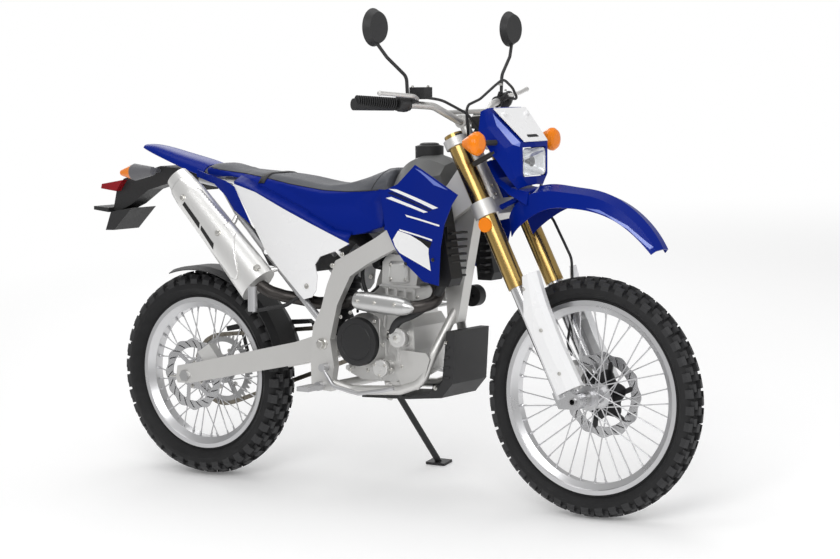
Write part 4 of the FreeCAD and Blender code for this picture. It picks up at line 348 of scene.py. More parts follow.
# Brake discs: ground stainless tracks with a wavy edge, slotted to clear dirt. The front track is
# riveted to a black carrier, and both discs are held to their hubs by six flanged bolts.
DISC_BOLT_START = 0.4
SLOT_ROWS, SLOT_CORNERS = 3, 12
SLOT_STRAIGHT = 0.0042
SLOT_RADIUS = 0.0016
SLOT_SLANT = 0.9
SLOT_SWEEP = 0.06
SLOT_LIFT = 0.0002
FIRST_SLOT, NEXT_SLOT = 0.22, 0.28
# Bolt profiles: shares of the bolt's size along it and out from its middle
BOLT_FLANGE = ((-0.10, 0.70), (0.12, 0.70), (0.20, 0.56))
BOLT_HEAD = ((0.18, 0.50), (0.58, 0.50), (0.66, 0.40))
disc_steel = finish("disc_steel", (0.60, 0.60, 0.61), metal=1.0, rough=0.24, grain=700, depth=0.12)
# Black paint for the disc carrier and bolts, also used as painted shade in the disc slots
carrier_black_and_slot_shade = finish("carrier_black_and_slot_shade", (0.012, 0.012, 0.013), rough=0.35, coat=0.2, grain=500)
bolt_zinc = finish("bolt_zinc", (0.62, 0.61, 0.58), metal=1.0, rough=0.28, grain=500, depth=0.12)
dress(disc_steel, "front_disc", "rear_disc")


def bolt(place, along, size):
    """A flanged bolt head that stands on its place, its flange a little into what it holds."""
    return joined([turned([(reach * size, radius * size) for reach, radius in profile], place, along, sides)
                   for profile, sides in ((BOLT_FLANGE, 14), (BOLT_HEAD, 6))])


def bolt_ring(centre, radius, y, start, way, size, count=6):
    return [bolt(about(centre, start + 2 * math.pi * k / count, radius, y), way, size) for k in range(count)]


def disc_slots(centre, low_y, high_y, inner, outer, count):
    """Rows of long slots through a brake track, drawn as painted shade: dark patches on both its faces."""
    forms = []
    for out, y in ((1, high_y), (-1, low_y)):
        for k in range(count):
            for step in range(SLOT_ROWS):
                turn = 2 * math.pi * k / count + SLOT_SWEEP * step
                reach = inner + (outer - inner) * (FIRST_SLOT + NEXT_SLOT * step)
                middle = about(centre, turn, reach, y + out * SLOT_LIFT)
                along = about((0, 0, 0), turn + SLOT_SLANT, 1)
                across = along.cross(LEFT)
                rim = []
                for angle in [2 * math.pi * i / SLOT_CORNERS for i in range(SLOT_CORNERS)]:
                    end = math.copysign(SLOT_STRAIGHT, math.cos(angle)) + SLOT_RADIUS * math.cos(angle)
                    rim.append(middle + along * end + across * SLOT_RADIUS * math.sin(angle))
                forms.append((rim, [tuple(range(SLOT_CORNERS))[::-out]]))
    return forms


# The slots are painted shade: dark patches on each face of the tracks
# Each track's two faces, its inner and outer radius, and the slots round it
fitted("front_disc_slot_shade", disc_slots(FRONT_AXLE, 0.050, 0.0535, 0.0925, 0.118, 24), carrier_black_and_slot_shade,
       "front_wheel")
fitted("rear_disc_slot_shade", disc_slots(REAR_AXLE, -0.0775, -0.074, 0.0851, 0.108, 22), carrier_black_and_slot_shade,
       "rear_wheel")

# The front carrier: a wavy ring round the hub, six leaning arms, and a rivet at the end of each
CARRIER_Y = (0.0494, 0.0541)
CARRIER_ARMS = 6
CARRIER_BORE, CARRIER_RING, CARRIER_WAVE = 0.0326, 0.0690, 0.0085
ARM_FOOT, ARM_TIP = 0.0406, 0.0955
ARM_LEAN, ARM_HALF = math.radians(14), math.radians(9.6)
RIVET = ((-0.0048, 0.006), (0.0008, 0.006), (0.0014, 0.0045))
rings = []
for y, wave in ((CARRIER_Y[1], None), (CARRIER_Y[1], CARRIER_WAVE), (CARRIER_Y[0], CARRIER_WAVE),
                (CARRIER_Y[0], None)):
    rim = []
    for turn in [2 * math.pi * k / HOOP_SIDES for k in range(HOOP_SIDES)]:
        reach = CARRIER_RING + wave * math.cos(CARRIER_ARMS * (turn - ARM_LEAN)) if wave else CARRIER_BORE
        rim.append(about(FRONT_AXLE, turn, reach, y))
    rings.append(rim)
carrier = [lofted(rings, hoop=True)]
for k in range(CARRIER_ARMS):
    foot = 2 * math.pi * k / CARRIER_ARMS
    tip = foot + ARM_LEAN
    carrier.append(lofted([[about(FRONT_AXLE, turn, reach, y) for turn, reach in (
        (foot - ARM_HALF, ARM_FOOT), (foot + ARM_HALF, ARM_FOOT), (tip + ARM_HALF / 2, ARM_TIP),
        (tip - ARM_HALF / 2, ARM_TIP))] for y in reversed(CARRIER_Y)]))
    carrier.append(turned(RIVET, about(FRONT_AXLE, tip, ARM_TIP, CARRIER_Y[1]), LEFT, 16))
fitted("front_disc_carrier", carrier, carrier_black_and_slot_shade, "front_wheel")
fitted("front_disc_bolts", bolt_ring(FRONT_AXLE, 0.036, 0.0541, DISC_BOLT_START, LEFT, 0.009), bolt_zinc,
       "front_wheel")
fitted("rear_disc_bolts", bolt_ring(REAR_AXLE, 0.038, -0.0775, DISC_BOLT_START, -LEFT, 0.009), bolt_zinc,
       "rear_wheel")

# Chain and sprockets: a roller chain of 112 links, riveted from pressed plates, rollers and pins. It
# runs from the engine's 13-tooth sprocket to a 44-tooth ring, which six bolts hold on the rear hub.
CHAIN_PITCH = 0.015875
CHAIN_LINKS = 112
CHAIN_Y = 0.077
BIG_TEETH, SMALL_TEETH = 44, 13
TEETH_Y = (0.0745, 0.0795)
TOOTH_RISE, TOOTH_SUNK = 0.004, 0.002
TOOTH_FOOT, TOOTH_WAIST, TOOTH_TIP = 0.95, 0.62, 0.26
BIG_BODY_DROP, SMALL_BODY = 0.0069, 0.0266
PLATE_RADIUS, PLATE_THICKNESS = 0.0064, 0.0013
INNER_PLATE_Y, OUTER_PLATE_Y = 0.0046, 0.0061
ROLLER = ((-0.0044, 0.0043), (0.0044, 0.0043))
SMALL_SPROCKET = Vector((0.650, 0, 0.475))
SMALL_DISC = ((0.0745, 0.012), (0.0745, 0.0265), (0.0795, 0.0265), (0.0795, 0.012))
big_radius = CHAIN_PITCH / (2 * math.sin(math.pi / BIG_TEETH))
small_radius = CHAIN_PITCH / (2 * math.sin(math.pi / SMALL_TEETH))
chain_steel = finish("chain_steel", (0.34, 0.31, 0.26), metal=1.0, rough=0.38, grain=400, depth=0.2, fade=0.4)
sprocket_steel = finish("sprocket_steel", (0.50, 0.50, 0.50), metal=1.0, rough=0.33, grain=500, depth=0.12)
dress(sprocket_steel, "rear_sprocket", "rear_axle", "front_axle")


def chain_places():
    """The pins' places, evenly spaced along both runs and round both sprockets."""
    line = SMALL_SPROCKET - REAR_AXLE
    tilt = math.atan2(line.z, line.x)
    splay = math.acos((big_radius - small_radius) / line.length)
    run = math.sqrt(line.length ** 2 - (big_radius - small_radius) ** 2)
    small_arc, big_arc = 2 * splay * small_radius, (2 * math.pi - 2 * splay) * big_radius
    places = []
    for k in range(CHAIN_LINKS):
        way = k * (2 * run + small_arc + big_arc) / CHAIN_LINKS
        if way < run:
            places.append(about(REAR_AXLE, tilt + splay, big_radius).lerp(
                about(SMALL_SPROCKET, tilt + splay, small_radius), way / run))
        elif way < run + small_arc:
            places.append(about(SMALL_SPROCKET, tilt + splay - (way - run) / small_radius, small_radius))
        elif way < 2 * run + small_arc:
            places.append(about(SMALL_SPROCKET, tilt - splay, small_radius).lerp(
                about(REAR_AXLE, tilt - splay, big_radius), (way - run - small_arc) / run))
        else:
            turn = tilt - splay - (way - 2 * run - small_arc) / big_radius
            places.append(about(REAR_AXLE, turn, big_radius))
    return places


def link_plate(pin, following, near_y, far_y):
    """A flat plate with a half round at each pin."""
    along = (following - pin).normalized()
    up = along.cross(LEFT)
    outline = []
    for centre, reach in ((pin, -PLATE_RADIUS), (following, PLATE_RADIUS)):
        for angle in [math.pi * (k / 4 - 0.5) for k in range(5)]:
            outline.append(centre + along * (reach * math.cos(angle)) + up * (reach * math.sin(angle)))
    return lofted([[point + LEFT * y for point in outline] for y in (far_y, near_y)])


pins = chain_places()
links = []
for k, pin in enumerate(pins):
    inside = INNER_PLATE_Y if k % 2 else OUTER_PLATE_Y
    for side in (-1, 1):
        links.append(link_plate(pin, pins[(k + 1) % CHAIN_LINKS], CHAIN_Y + side * inside,
                                CHAIN_Y + side * (inside + PLATE_THICKNESS)))
    links.append(turned(ROLLER, pin + LEFT * CHAIN_Y, LEFT, 10))
chain = fitted("roller_chain", links, chain_steel, "chassis")
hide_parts("drive_chain")


def teeth(centre, radius, count, body_radius):
    """A ring of tapered teeth, open where each stands on the sprocket's body."""
    forms = []
    half = math.pi / count
    for k in range(count):
        turn = 2 * math.pi * (k + 0.5) / count
        flank = ((TOOTH_FOOT, body_radius - TOOTH_SUNK), (TOOTH_WAIST, body_radius), (TOOTH_TIP, radius))
        corners = [(turn - half * share, reach) for share, reach in flank]
        corners += [(turn + half * share, reach) for share, reach in reversed(flank)]
        points = [about(centre, angle, reach, y) for y in TEETH_Y for angle, reach in corners]
        faces = [(5, 4, 3, 2, 1, 0), (6, 7, 8, 9, 10, 11)] + [(i, i + 1, i + 7, i + 6) for i in range(5)]
        forms.append((points, faces))
    return forms


fitted("sprocket_teeth", teeth(REAR_AXLE, big_radius + TOOTH_RISE, BIG_TEETH, big_radius - BIG_BODY_DROP),
       sprocket_steel, "rear_wheel")
fitted("small_sprocket", [turned(SMALL_DISC, SMALL_SPROCKET, LEFT, 32, hoop=True)]
       + teeth(SMALL_SPROCKET, small_radius + TOOTH_RISE, SMALL_TEETH, SMALL_BODY), sprocket_steel, "chassis")
fitted("sprocket_bolts", bolt_ring(REAR_AXLE, 0.062, 0.080, 0.2, LEFT, 0.011), bolt_zinc, "rear_wheel")

# Frame and swingarm: extruded and cast aluminium, satin anodised, with its welds left as laid. The
# swingarm turns on a through bolt, and the rear subframe is steel tube, painted silver and bolted on.
PIVOT = Vector((0.562, 0, 0.462))
PIVOT_BOLT_Y, FRAME_BOLT_Y = 0.1445, 0.1444
ADJUSTER_Y = 0.104
ADJUSTER_ROD = ((0, 0.0035), (0.040, 0.0035))
DOWNTUBE_BOSS_Y, BOSS_SCREW_LIFT = 0.0215, 0.0020
BOSS = ((-0.004, 0.0085), (0.0012, 0.0085), (0.0022, 0.0070))
frame_alloy = finish("frame_alloy", (0.70, 0.692, 0.675), metal=0.75, rough=0.44, grain=700, depth=0.14)
frame_steel = finish("frame_steel", (0.56, 0.56, 0.57), metal=0.8, rough=0.36, grain=700, depth=0.08)
dress(frame_alloy, "main_frame", "swingarm")
dress(frame_steel, "rear_subframe", "rider_pegs", "foot_pedals")
# Adjusters pull the rear axle back in the swingarm. Bosses on the downtube take the screws that hold
# the radiators and the horn
frame_bolts, adjusters, boss_screws = [], [], []
for side in (-1, 1):
    out = LEFT * side
    frame_bolts.append(bolt(PIVOT + out * PIVOT_BOLT_Y, out, 0.026))
    frame_bolts += [bolt(Vector((x, side * FRAME_BOLT_Y, z)), out, 0.011)
                    for x, z in ((0.603, 0.700), (0.640, 0.735), (0.536, 0.640))]
    adjusters.append(turned(ADJUSTER_ROD, (-0.072, side * ADJUSTER_Y, 0.318),
                            (1, 0, 0.06), 10))
    adjusters.append(bolt((-0.038, side * ADJUSTER_Y, 0.320), (-1, 0, -0.06), 0.012))
    for x, z in ((0.964, 0.745), (0.954, 0.709), (0.946, 0.677)):
        place = Vector((x, side * DOWNTUBE_BOSS_Y, z))
        boss_screws += [turned(BOSS, place, out, 20), bolt(place + out * BOSS_SCREW_LIFT, out, 0.0085)]
fitted("frame_bolts", frame_bolts, bolt_zinc, "chassis")
fitted("chain_adjusters", adjusters, bolt_zinc, "chassis")
fitted("downtube_screws", boss_screws, bolt_zinc, "chassis")

# Rear shock and side stand: a steel coil on a hard-anodised damper, pinned between frame and linkage,
# and a black forged leg with a wide foot, which folds up on a bolt under the frame.
cover_black = finish("cover_black", (0.018, 0.018, 0.019), rough=0.40, grain=400, depth=0.18, shine=0.4)
dress(cover_black, "rear_shock", "side_stand")

# Engine: sand-cast aluminium cases, left as cast, with a black round clutch cover on the right. The
# water pump with its bright boss, the filter cover and all case halves are held by flanged bolts.
CASE_Y = -0.126
CLUTCH_MIDDLE = Vector((0.687, -0.144, 0.475))
PUMP_MIDDLE = Vector((0.8275, -0.133, 0.4950))
FILTER_MIDDLE = Vector((0.765, -0.133, 0.400))
CLUTCH_FACE = ((-0.004, 0.0728), (0.0010, 0.0712), (0.0022, 0.0690), (0.0022, 0.0560), (0.0008, 0.0545),
               (0.0008, 0.0530), (0.0020, 0.0515), (0.0030, 0.0300), (0.0032, 0.0002))
PUMP_COVER = ((-0.010, 0.0300), (0.000, 0.0300), (0.003, 0.0275), (0.0035, 0.0170), (0.007, 0.0150),
              (0.009, 0.0110))
FILTER_COVER = ((-0.010, 0.0265), (0.000, 0.0265), (0.0025, 0.0240), (0.0030, 0.0080), (0.0050, 0.0070))
CASE_BOLTS = ((0.618, 0.545), (0.654, 0.560), (0.742, 0.538), (0.772, 0.470), (0.762, 0.418),
              (0.716, 0.390), (0.650, 0.388), (0.800, 0.398), (0.838, 0.410))
RIB_SUNK, RIB_PROUD = 0.004, -0.005
engine_alloy = finish("engine_alloy", (0.76, 0.755, 0.74), metal=0.8, rough=0.48, grain=240, depth=0.45,
                      fade=0.18)
dress(engine_alloy, "crankcase", "cylinder", "front_caliper", "rear_caliper")
dress(cover_black, "clutch_cover")
fitted("clutch_cover_face", [turned(CLUTCH_FACE, CLUTCH_MIDDLE, -LEFT, 72)], cover_black, "chassis")
fitted("case_bolts", [bolt((x, CASE_Y, z), -LEFT, 0.0085) for x, z in CASE_BOLTS], bolt_zinc, "chassis")
# Upright cast ribs between the clutch cover and the pump: place, foot, top and half thickness
ribs = []
for x, low, high, half in ((0.7640, 0.455, 0.548, 0.0030), (0.7860, 0.440, 0.482, 0.0022),
                           (0.8300, 0.425, 0.470, 0.0024)):
    ribs.append(lofted([[Vector((x + across, CASE_Y + y, z))
                         for across, y in ((-half, RIB_SUNK), (-half / 2, RIB_PROUD), (half / 2, RIB_PROUD),
                                           (half, RIB_SUNK))] for z in (high, low)]))
ribs.append(turned(PUMP_COVER, PUMP_MIDDLE, -LEFT, 36))
ribs.append(turned(FILTER_COVER, FILTER_MIDDLE, -LEFT, 32))
fitted("case_ribs", ribs, engine_alloy, "chassis")
fitted("pump_bolts", [bolt(PUMP_MIDDLE - LEFT * 0.008, -LEFT, 0.011)]
       + bolt_ring(FILTER_MIDDLE, 0.021, -0.0026, 0.5, -LEFT, 0.007, 3), bolt_zinc, "chassis")

# Cylinder and head: cast alloy, joined on gaskets, with a ribbed water jacket and a lidded cam box.
# Bolts go round each side lid. The throttle body sits behind the head in a black rubber boot.
GASKETS = (0.575, 0.640)
GASKET_THICKNESS = 0.007
JACKET_RIBS, JACKET_RIB_STEP = 4, 0.033
LID_BOLTS = ((0.776, 0.663, 0.089), (0.828, 0.663, 0.089), (0.776, 0.706, 0.089), (0.828, 0.706, 0.089),
             (0.740, 0.612, 0.079), (0.866, 0.612, 0.079))
THROTTLE = ((0, 0.030), (0.020, 0.030), (0.022, 0.026), (0.050, 0.026), (0.052, 0.030), (0.075, 0.031))
THROTTLE_WHEEL = ((0, 0.015), (0.030, 0.015), (0.034, 0.010))
boot_rubber = finish("boot_rubber", (0.016, 0.016, 0.017), rough=0.58, grain=500, depth=0.35)


def block(low, high, soften=0.004):
    """A cast block with its upright edges cut back and its top edge eased."""
    (x0, y0, z0), (x1, y1, z1) = low, high
    outline = [(x0 + soften, y0), (x1 - soften, y0), (x1, y0 + soften), (x1, y1 - soften), (x1 - soften, y1),
               (x0 + soften, y1), (x0, y1 - soften), (x0, y0 + soften)]
    eased = [(x + math.copysign(soften / 2, (x0 + x1) / 2 - x),
              y + math.copysign(soften / 2, (y0 + y1) / 2 - y)) for x, y in outline]
    return lofted([[Vector((x, y, z)) for x, y in ring]
                   for ring, z in ((outline, z0), (outline, z1 - soften * 0.7), (eased, z1))])


def side_block(side, x0, x1, near_y, far_y, z0, z1, soften):
    """A block on one side of the machine, from its near to its far distance out."""
    low_y, high_y = sorted((side * near_y, side * far_y))
    return block((x0, low_y, z0), (x1, high_y, z1), soften)


castings = [block((0.728, -0.084, z), (0.876, 0.084, z + GASKET_THICKNESS)) for z in GASKETS]
castings.append(block((0.742, -0.072, 0.735), (0.862, 0.072, 0.752), 0.008))
for side in (-1, 1):
    for x in [0.752 + JACKET_RIB_STEP * k for k in range(JACKET_RIBS)]:
        castings.append(side_block(side, x, x + 0.010, 0.076, 0.086, 0.587, 0.636, 0.002))
    castings.append(side_block(side, 0.768, 0.836, 0.076, 0.089, 0.655, 0.715, 0.010))
fitted("head_castings", castings, engine_alloy, "chassis")
fitted("head_bolts", [bolt((x, side * y, z), LEFT * side, 0.0075) for side in (-1, 1)
                      for x, z, y in LID_BOLTS], bolt_zinc, "chassis")
fitted("throttle_body", [turned(THROTTLE, (0.742, 0, 0.700), (-1, 0, 0.16), 28),
                         turned(THROTTLE_WHEEL, (0.700, -0.024, 0.706), -LEFT, 18)], boot_rubber, "chassis")

# Hoses and leads: black rubber pushed onto stubs. The water hose climbs from the pump to the radiator
# under a steel clamp, the thinner breather goes up to the head, and a lead runs to the starter.
HOSE_ROUNDNESS, HOSE_STEPS = 3, 8
CLAMP_BAND = ((-0.005, 0.0140), (0.005, 0.0140))


def hose(name, route, radius, material, body):
    """A hose or cable on one smooth line through its guides."""
    line = bpy.data.curves.new(name, "CURVE")
    line.dimensions = "3D"
    line.bevel_depth = radius
    line.bevel_resolution = HOSE_ROUNDNESS
    line.use_fill_caps = True
    run = line.splines.new("NURBS")
    run.points.add(len(route) - 1)
    for spot, place in zip(run.points, route):
        spot.co = (*(parked @ Vector(place)), 1)
    run.order_u = 3
    run.use_endpoint_u = True
    run.resolution_u = HOSE_STEPS
    line.materials.append(material)
    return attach(put(name, line), body)


hose("water_hose", [(0.790, -0.112, 0.492), (0.806, -0.128, 0.506), (0.828, -0.130, 0.545),
                    (0.868, -0.118, 0.560), (0.905, -0.098, 0.585), (0.945, -0.088, 0.620),
                    (0.965, -0.088, 0.662)], 0.0125, boot_rubber, "chassis")
fitted("water_hose_clamp", [turned(CLAMP_BAND, (0.801, -0.124, 0.501), (0.6, -0.5, 0.55), 20),
                            bolt((0.800, -0.138, 0.512), (-0.2, -0.7, 0.6), 0.007)], bolt_zinc, "chassis")
hose("breather_hose", [(0.690, -0.060, 0.560), (0.690, -0.080, 0.600), (0.672, -0.088, 0.650),
                       (0.668, -0.080, 0.700), (0.700, -0.070, 0.740)], 0.006, boot_rubber, "chassis")
hose("starter_lead", [(0.640, -0.070, 0.556), (0.660, -0.095, 0.590), (0.700, -0.092, 0.612),
                      (0.730, -0.085, 0.640)], 0.004, boot_rubber, "chassis")

# Radiators and signal horn: aluminium cores with pressed fins, painted black, one on each side of the
# frame. Seven moulded louvres and an outer cheek shield each core. The horn hangs from the downtube.
LOUVRES, LOUVRE_FOOT, LOUVRE_STEP = 7, 0.680, 0.021
LOUVRE_X, LOUVRE_RAKE, LOUVRE_DEPTH = 1.000, 0.00108, 0.020
LOUVRE_IN_Y, LOUVRE_OUT_Y = 0.050, 0.134
LOUVRE_THICKNESS, LOUVRE_EDGE = 0.006, 0.0015
CHEEK_Y = (0.1345, 0.1385)
CHEEK = ((0.950, 0.665), (1.000, 0.668), (1.010, 0.740), (1.014, 0.800), (1.012, 0.828), (0.975, 0.828))
radiator_black = finish("radiator_black", (0.012, 0.012, 0.013), rough=0.45, grain=500, depth=0.2, shine=0.3)
dress(radiator_black, "radiators", "horn")
louvres = []
for side in (-1, 1):
    for k in range(LOUVRES):
        x, z = LOUVRE_X + LOUVRE_RAKE * k, LOUVRE_FOOT + LOUVRE_STEP * k
        louvres.append(side_block(side, x, x + LOUVRE_DEPTH, LOUVRE_IN_Y, LOUVRE_OUT_Y, z,
                                  z + LOUVRE_THICKNESS, LOUVRE_EDGE))
    louvres.append(lofted([[Vector((x, y, z)) for x, z in CHEEK] for y in sorted(side * y for y in CHEEK_Y)]))
fitted("radiator_louvres", louvres, radiator_black, "chassis")

# Exhaust: a welded stainless header, browned by heat, behind a turned bright shield with flush screws,
# and a silencer of satin steel with a riveted side shield, whose slots are painted shade in black film.
MUFFLER_SCREWS = ((0.217, 0.788), (0.355, 0.686), (0.083, 0.893))
HEADER_SCREWS = ((0.850, 0.598), (0.780, 0.600), (0.718, 0.603))
FILM_LIFT = 0.0006
FILM_EDGE = 0.009
FILM_CUTS = 6
SIDE_REACH, NEAR_Y = 0.6, 0.2
SHIELD_LIFT, SHIELD_THICKNESS, VENT_LIFT = 0.0036, 0.003, 0.0042
header_steel = finish("header_steel", (0.085, 0.078, 0.074), metal=0.9, rough=0.40, grain=300, fade=0.4)
shield_steel = finish("shield_steel", (0.60, 0.60, 0.595), metal=0.9, rough=0.30, grain=900, depth=0.08,
                      stretch=(0.2, 1, 1))
muffler_steel = finish("muffler_steel", (0.88, 0.875, 0.86), metal=0.80, rough=0.36, grain=900, depth=0.12,
                       stretch=(1, 1, 0.15))
# Painted shade for the muffler's slots
painted_slot_shade = finish("painted_slot_shade", (0.010, 0.010, 0.010), rough=0.7, grain=300)
dress(header_steel, "exhaust_pipe")
dress(shield_steel, "header_shield")
dress(muffler_steel, "muffler")
upright = parked.inverted()


def skin(mesh):
    """A mesh's own surface, in the upright machine, to lay thinner pieces on."""
    return BVHTree.FromPolygons([upright @ spot.co for spot in mesh.vertices],
                                [tuple(face.vertices) for face in mesh.polygons])


def on_skin(surface, x, z, side):
    """Where a line straight in from one side first meets the surface, and which way is out there."""
    place, out, _, _ = surface.ray_cast(Vector((x, side * SIDE_REACH, z)), LEFT * -side)
    if place is None:
        place, out, _, _ = surface.find_nearest(Vector((x, side * NEAR_Y, z)))
    return place, out if out.y * side > 0 else -out


def skin_bolts(surface, places, size, sides=(-1, 1)):
    return [bolt(*on_skin(surface, x, z, side), size) for side in sides for x, z in places]


def thicken(piece, name, thickness, offset):
    wall = piece.modifiers.new(name, "SOLIDIFY")
    wall.thickness = thickness
    wall.offset = offset


def film(name, outlines, surface, material, body, lift=FILM_LIFT, thickness=0.0, sides=(-1, 1)):
    """Thin pieces laid on a surface: each outline is drawn from the side and pressed onto it."""
    points, faces = [], []
    for side in sides:
        for outline in outlines:
            form = bmesh.new()
            form.faces.new([form.verts.new((x, 0, z)) for x, z in outline])
            bmesh.ops.triangulate(form, faces=form.faces[:])
            for _ in range(FILM_CUTS):
                long_edges = [edge for edge in form.edges if edge.calc_length() > FILM_EDGE]
                if not long_edges:
                    break
                bmesh.ops.subdivide_edges(form, edges=long_edges, cuts=1)
                bmesh.ops.triangulate(form, faces=form.faces[:])
            form.verts.index_update()
            first = len(points)
            for spot in form.verts:
                place, out = on_skin(surface, spot.co.x, spot.co.z, side)
                points.append(place + out * lift)
            for face in form.faces:
                a, b, c = [first + spot.index for spot in face.verts]
                normal = (points[b] - points[a]).cross(points[c] - points[a])
                faces.append((a, b, c) if normal.y * side > 0 else (c, b, a))
            form.free()
    piece = fitted(name, [(points, faces)], material, body)
    if thickness:
        thicken(piece, "thickness", thickness, -1)


muffler_skin = skin(frame["nodes"]["muffler"].data)
header_skin = skin(frame["nodes"]["header_shield"].data)
fitted("exhaust_screws", skin_bolts(muffler_skin, MUFFLER_SCREWS, 0.017, (-1,))
       + skin_bolts(header_skin, HEADER_SCREWS, 0.009, (-1,)), bolt_zinc, "chassis")
film("muffler_shield", [[(0.020, 0.905), (0.060, 0.952), (0.128, 0.915), (0.262, 0.792), (0.300, 0.668),
                         (0.290, 0.648), (0.262, 0.655), (0.150, 0.772)]],
     muffler_skin, muffler_steel, "chassis", SHIELD_LIFT, SHIELD_THICKNESS, (-1,))
# Painted shade in the side shield's slots, where the gap between shield and can lies
film("muffler_painted_slot_shade", [[(0.152, 0.797), (0.156, 0.810), (0.205, 0.756), (0.200, 0.738)],
                       [(0.080, 0.872), (0.090, 0.881), (0.150, 0.818), (0.146, 0.800)]],
     muffler_skin, painted_slot_shade, "chassis", VENT_LIFT, sides=(-1,))

# Shrouds and tail: blue plastic, injection-moulded and coloured through. The shrouds clamp over the
# radiators and carry thin printed film: plain white stripes and lines, and a white lower panel.
PANEL_LIFT = 0.0012
blue_plastic = finish("blue_plastic", (0.001, 0.0150, 0.228), rough=0.24, coat=0.02, grain=140, depth=0.04,
                      shine=0.07)
white_plastic = finish("white_plastic", (0.88, 0.88, 0.885), rough=0.28, coat=0.35, grain=140, depth=0.04,
                       fade=0.03)
white_film = finish("white_film", (0.90, 0.90, 0.90), rough=0.24, coat=0.4, grain=300, depth=0.02, fade=0.02)
# Painted shade for the shroud's gap and the screen's slit
painted_shade_black = finish("painted_shade_black", (0.006, 0.006, 0.008), rough=0.3, grain=300, depth=0.02, shine=0.25)
navy_film = finish("navy_film", (0.001, 0.006, 0.07), rough=0.26, grain=300, depth=0.02, shine=0.25)
# Painted highlight: a lighter blue laid on the blue plastic where its folds catch the light
painted_highlight_blue = finish("painted_highlight_blue", (0.14, 0.20, 0.62), rough=0.24, coat=0.4, grain=300, depth=0.02, fade=0.08)
dress(blue_plastic, "radiator_shrouds", "tail_cowl")
shroud_skin = skin(frame["nodes"]["radiator_shrouds"].data)
film("shroud_stripes", [[(0.812, 0.934), (0.842, 0.934), (1.012, 0.886), (0.990, 0.881)],
                        [(0.800, 0.907), (0.822, 0.911), (0.968, 0.872), (0.950, 0.869)],
                        [(0.876, 0.861), (1.017, 0.837), (1.015, 0.832), (0.882, 0.855)],
                        [(0.852, 0.818), (0.985, 0.794), (0.985, 0.789), (0.854, 0.813)]],
     shroud_skin, white_film, "chassis")
film("shroud_shadow", [[(0.806, 0.922), (0.826, 0.926), (0.985, 0.878), (0.974, 0.875)]],
     shroud_skin, navy_film, "chassis")
# Painted shade in the gap between the shroud and its white lower panel, as a black film
film("shroud_painted_gap_shade", [[(0.900, 0.802), (0.984, 0.786), (0.975, 0.769), (0.971, 0.768), (0.940, 0.785)]],
     shroud_skin, painted_shade_black, "chassis")
film("shroud_white_panel", [[(0.848, 0.813), (0.893, 0.803), (0.939, 0.785), (0.971, 0.767), (0.970, 0.752),
                             (0.979, 0.702), (0.914, 0.725), (0.854, 0.748), (0.836, 0.766), (0.827, 0.786)]],
     shroud_skin, white_plastic, "chassis", PANEL_LIFT)
# A painted highlight along the shroud's upper fold, in lighter blue film
film("shroud_painted_highlight", [[(0.916, 0.997), (0.941, 0.990), (1.052, 0.938), (0.994, 0.951), (0.956, 0.975)]],
     shroud_skin, painted_highlight_blue, "chassis")
fitted("shroud_bolts", skin_bolts(shroud_skin, ((0.988, 0.735), (0.868, 0.715)), 0.0085), carrier_black_and_slot_shade,
       "chassis")

# Tank and airbox: a grey plastic fuel tank, blown in one piece, under a ribbed screw cap, and a black
# airbox behind it. A soft rubber pad closes the gap between the tank's back and the seat's nose.
CAP = Vector((0.859, 0, 1.054))
CAP_RIDGES, CAP_RADIUS = 30, 0.0400
CAP_RIDGE = ((-0.008, 0.0022), (0.002, 0.0022))
CAP_TOP = ((0.000, 0.0385), (0.002, 0.0370), (0.004, 0.0300), (0.0085, 0.0270), (0.0105, 0.0200),
           (0.0110, 0.0002))
PAD_EDGE = 0.02
tank_plastic = finish("tank_plastic", (0.145, 0.147, 0.145), rough=0.42, grain=700, depth=0.25)
black_plastic = finish("black_plastic", (0.028, 0.028, 0.029), rough=0.50, grain=900, depth=0.35, shine=0.35)
dress(tank_plastic, "fuel_tank")
dress(black_plastic, "tank_cap", "air_box")
pad_rings = []
for x, half, low, high in ((0.806, 0.070, 0.866, 0.930), (0.790, 0.078, 0.858, 0.940),
                           (0.768, 0.078, 0.860, 0.938), (0.755, 0.070, 0.868, 0.930)):
    inner, floor, roof = half - PAD_EDGE, low + PAD_EDGE, high - PAD_EDGE
    pad_rings.append([Vector((x, y, z)) for y, z in ((-half, floor), (-inner, low), (inner, low),
                                                     (half, floor), (half, roof), (inner, high),
                                                     (-inner, high), (-half, roof))])
fitted("tank_pad", [lofted(pad_rings)], boot_rubber, "chassis", 60)
ridge_foot = CAP + Vector((0, 0, -0.004))
cap_forms = []
for turn in [2 * math.pi * k / CAP_RIDGES for k in range(CAP_RIDGES)]:
    place = ridge_foot + Vector((math.cos(turn), math.sin(turn), 0)) * CAP_RADIUS
    cap_forms.append(turned(CAP_RIDGE, place, (0, 0, 1), 6))
cap_forms.append(turned(CAP_TOP, CAP + Vector((0, 0, 0.0005)), (0, 0, 1), 40))
fitted("cap_grip", cap_forms, black_plastic, "chassis")

# Inner fender, plate holder and chain guard: black plastic mouldings that keep the mud off. They are
# bolted under the subframe and along the swingarm.
dress(black_plastic, "inner_fender", "rear_stay", "chain_guard")

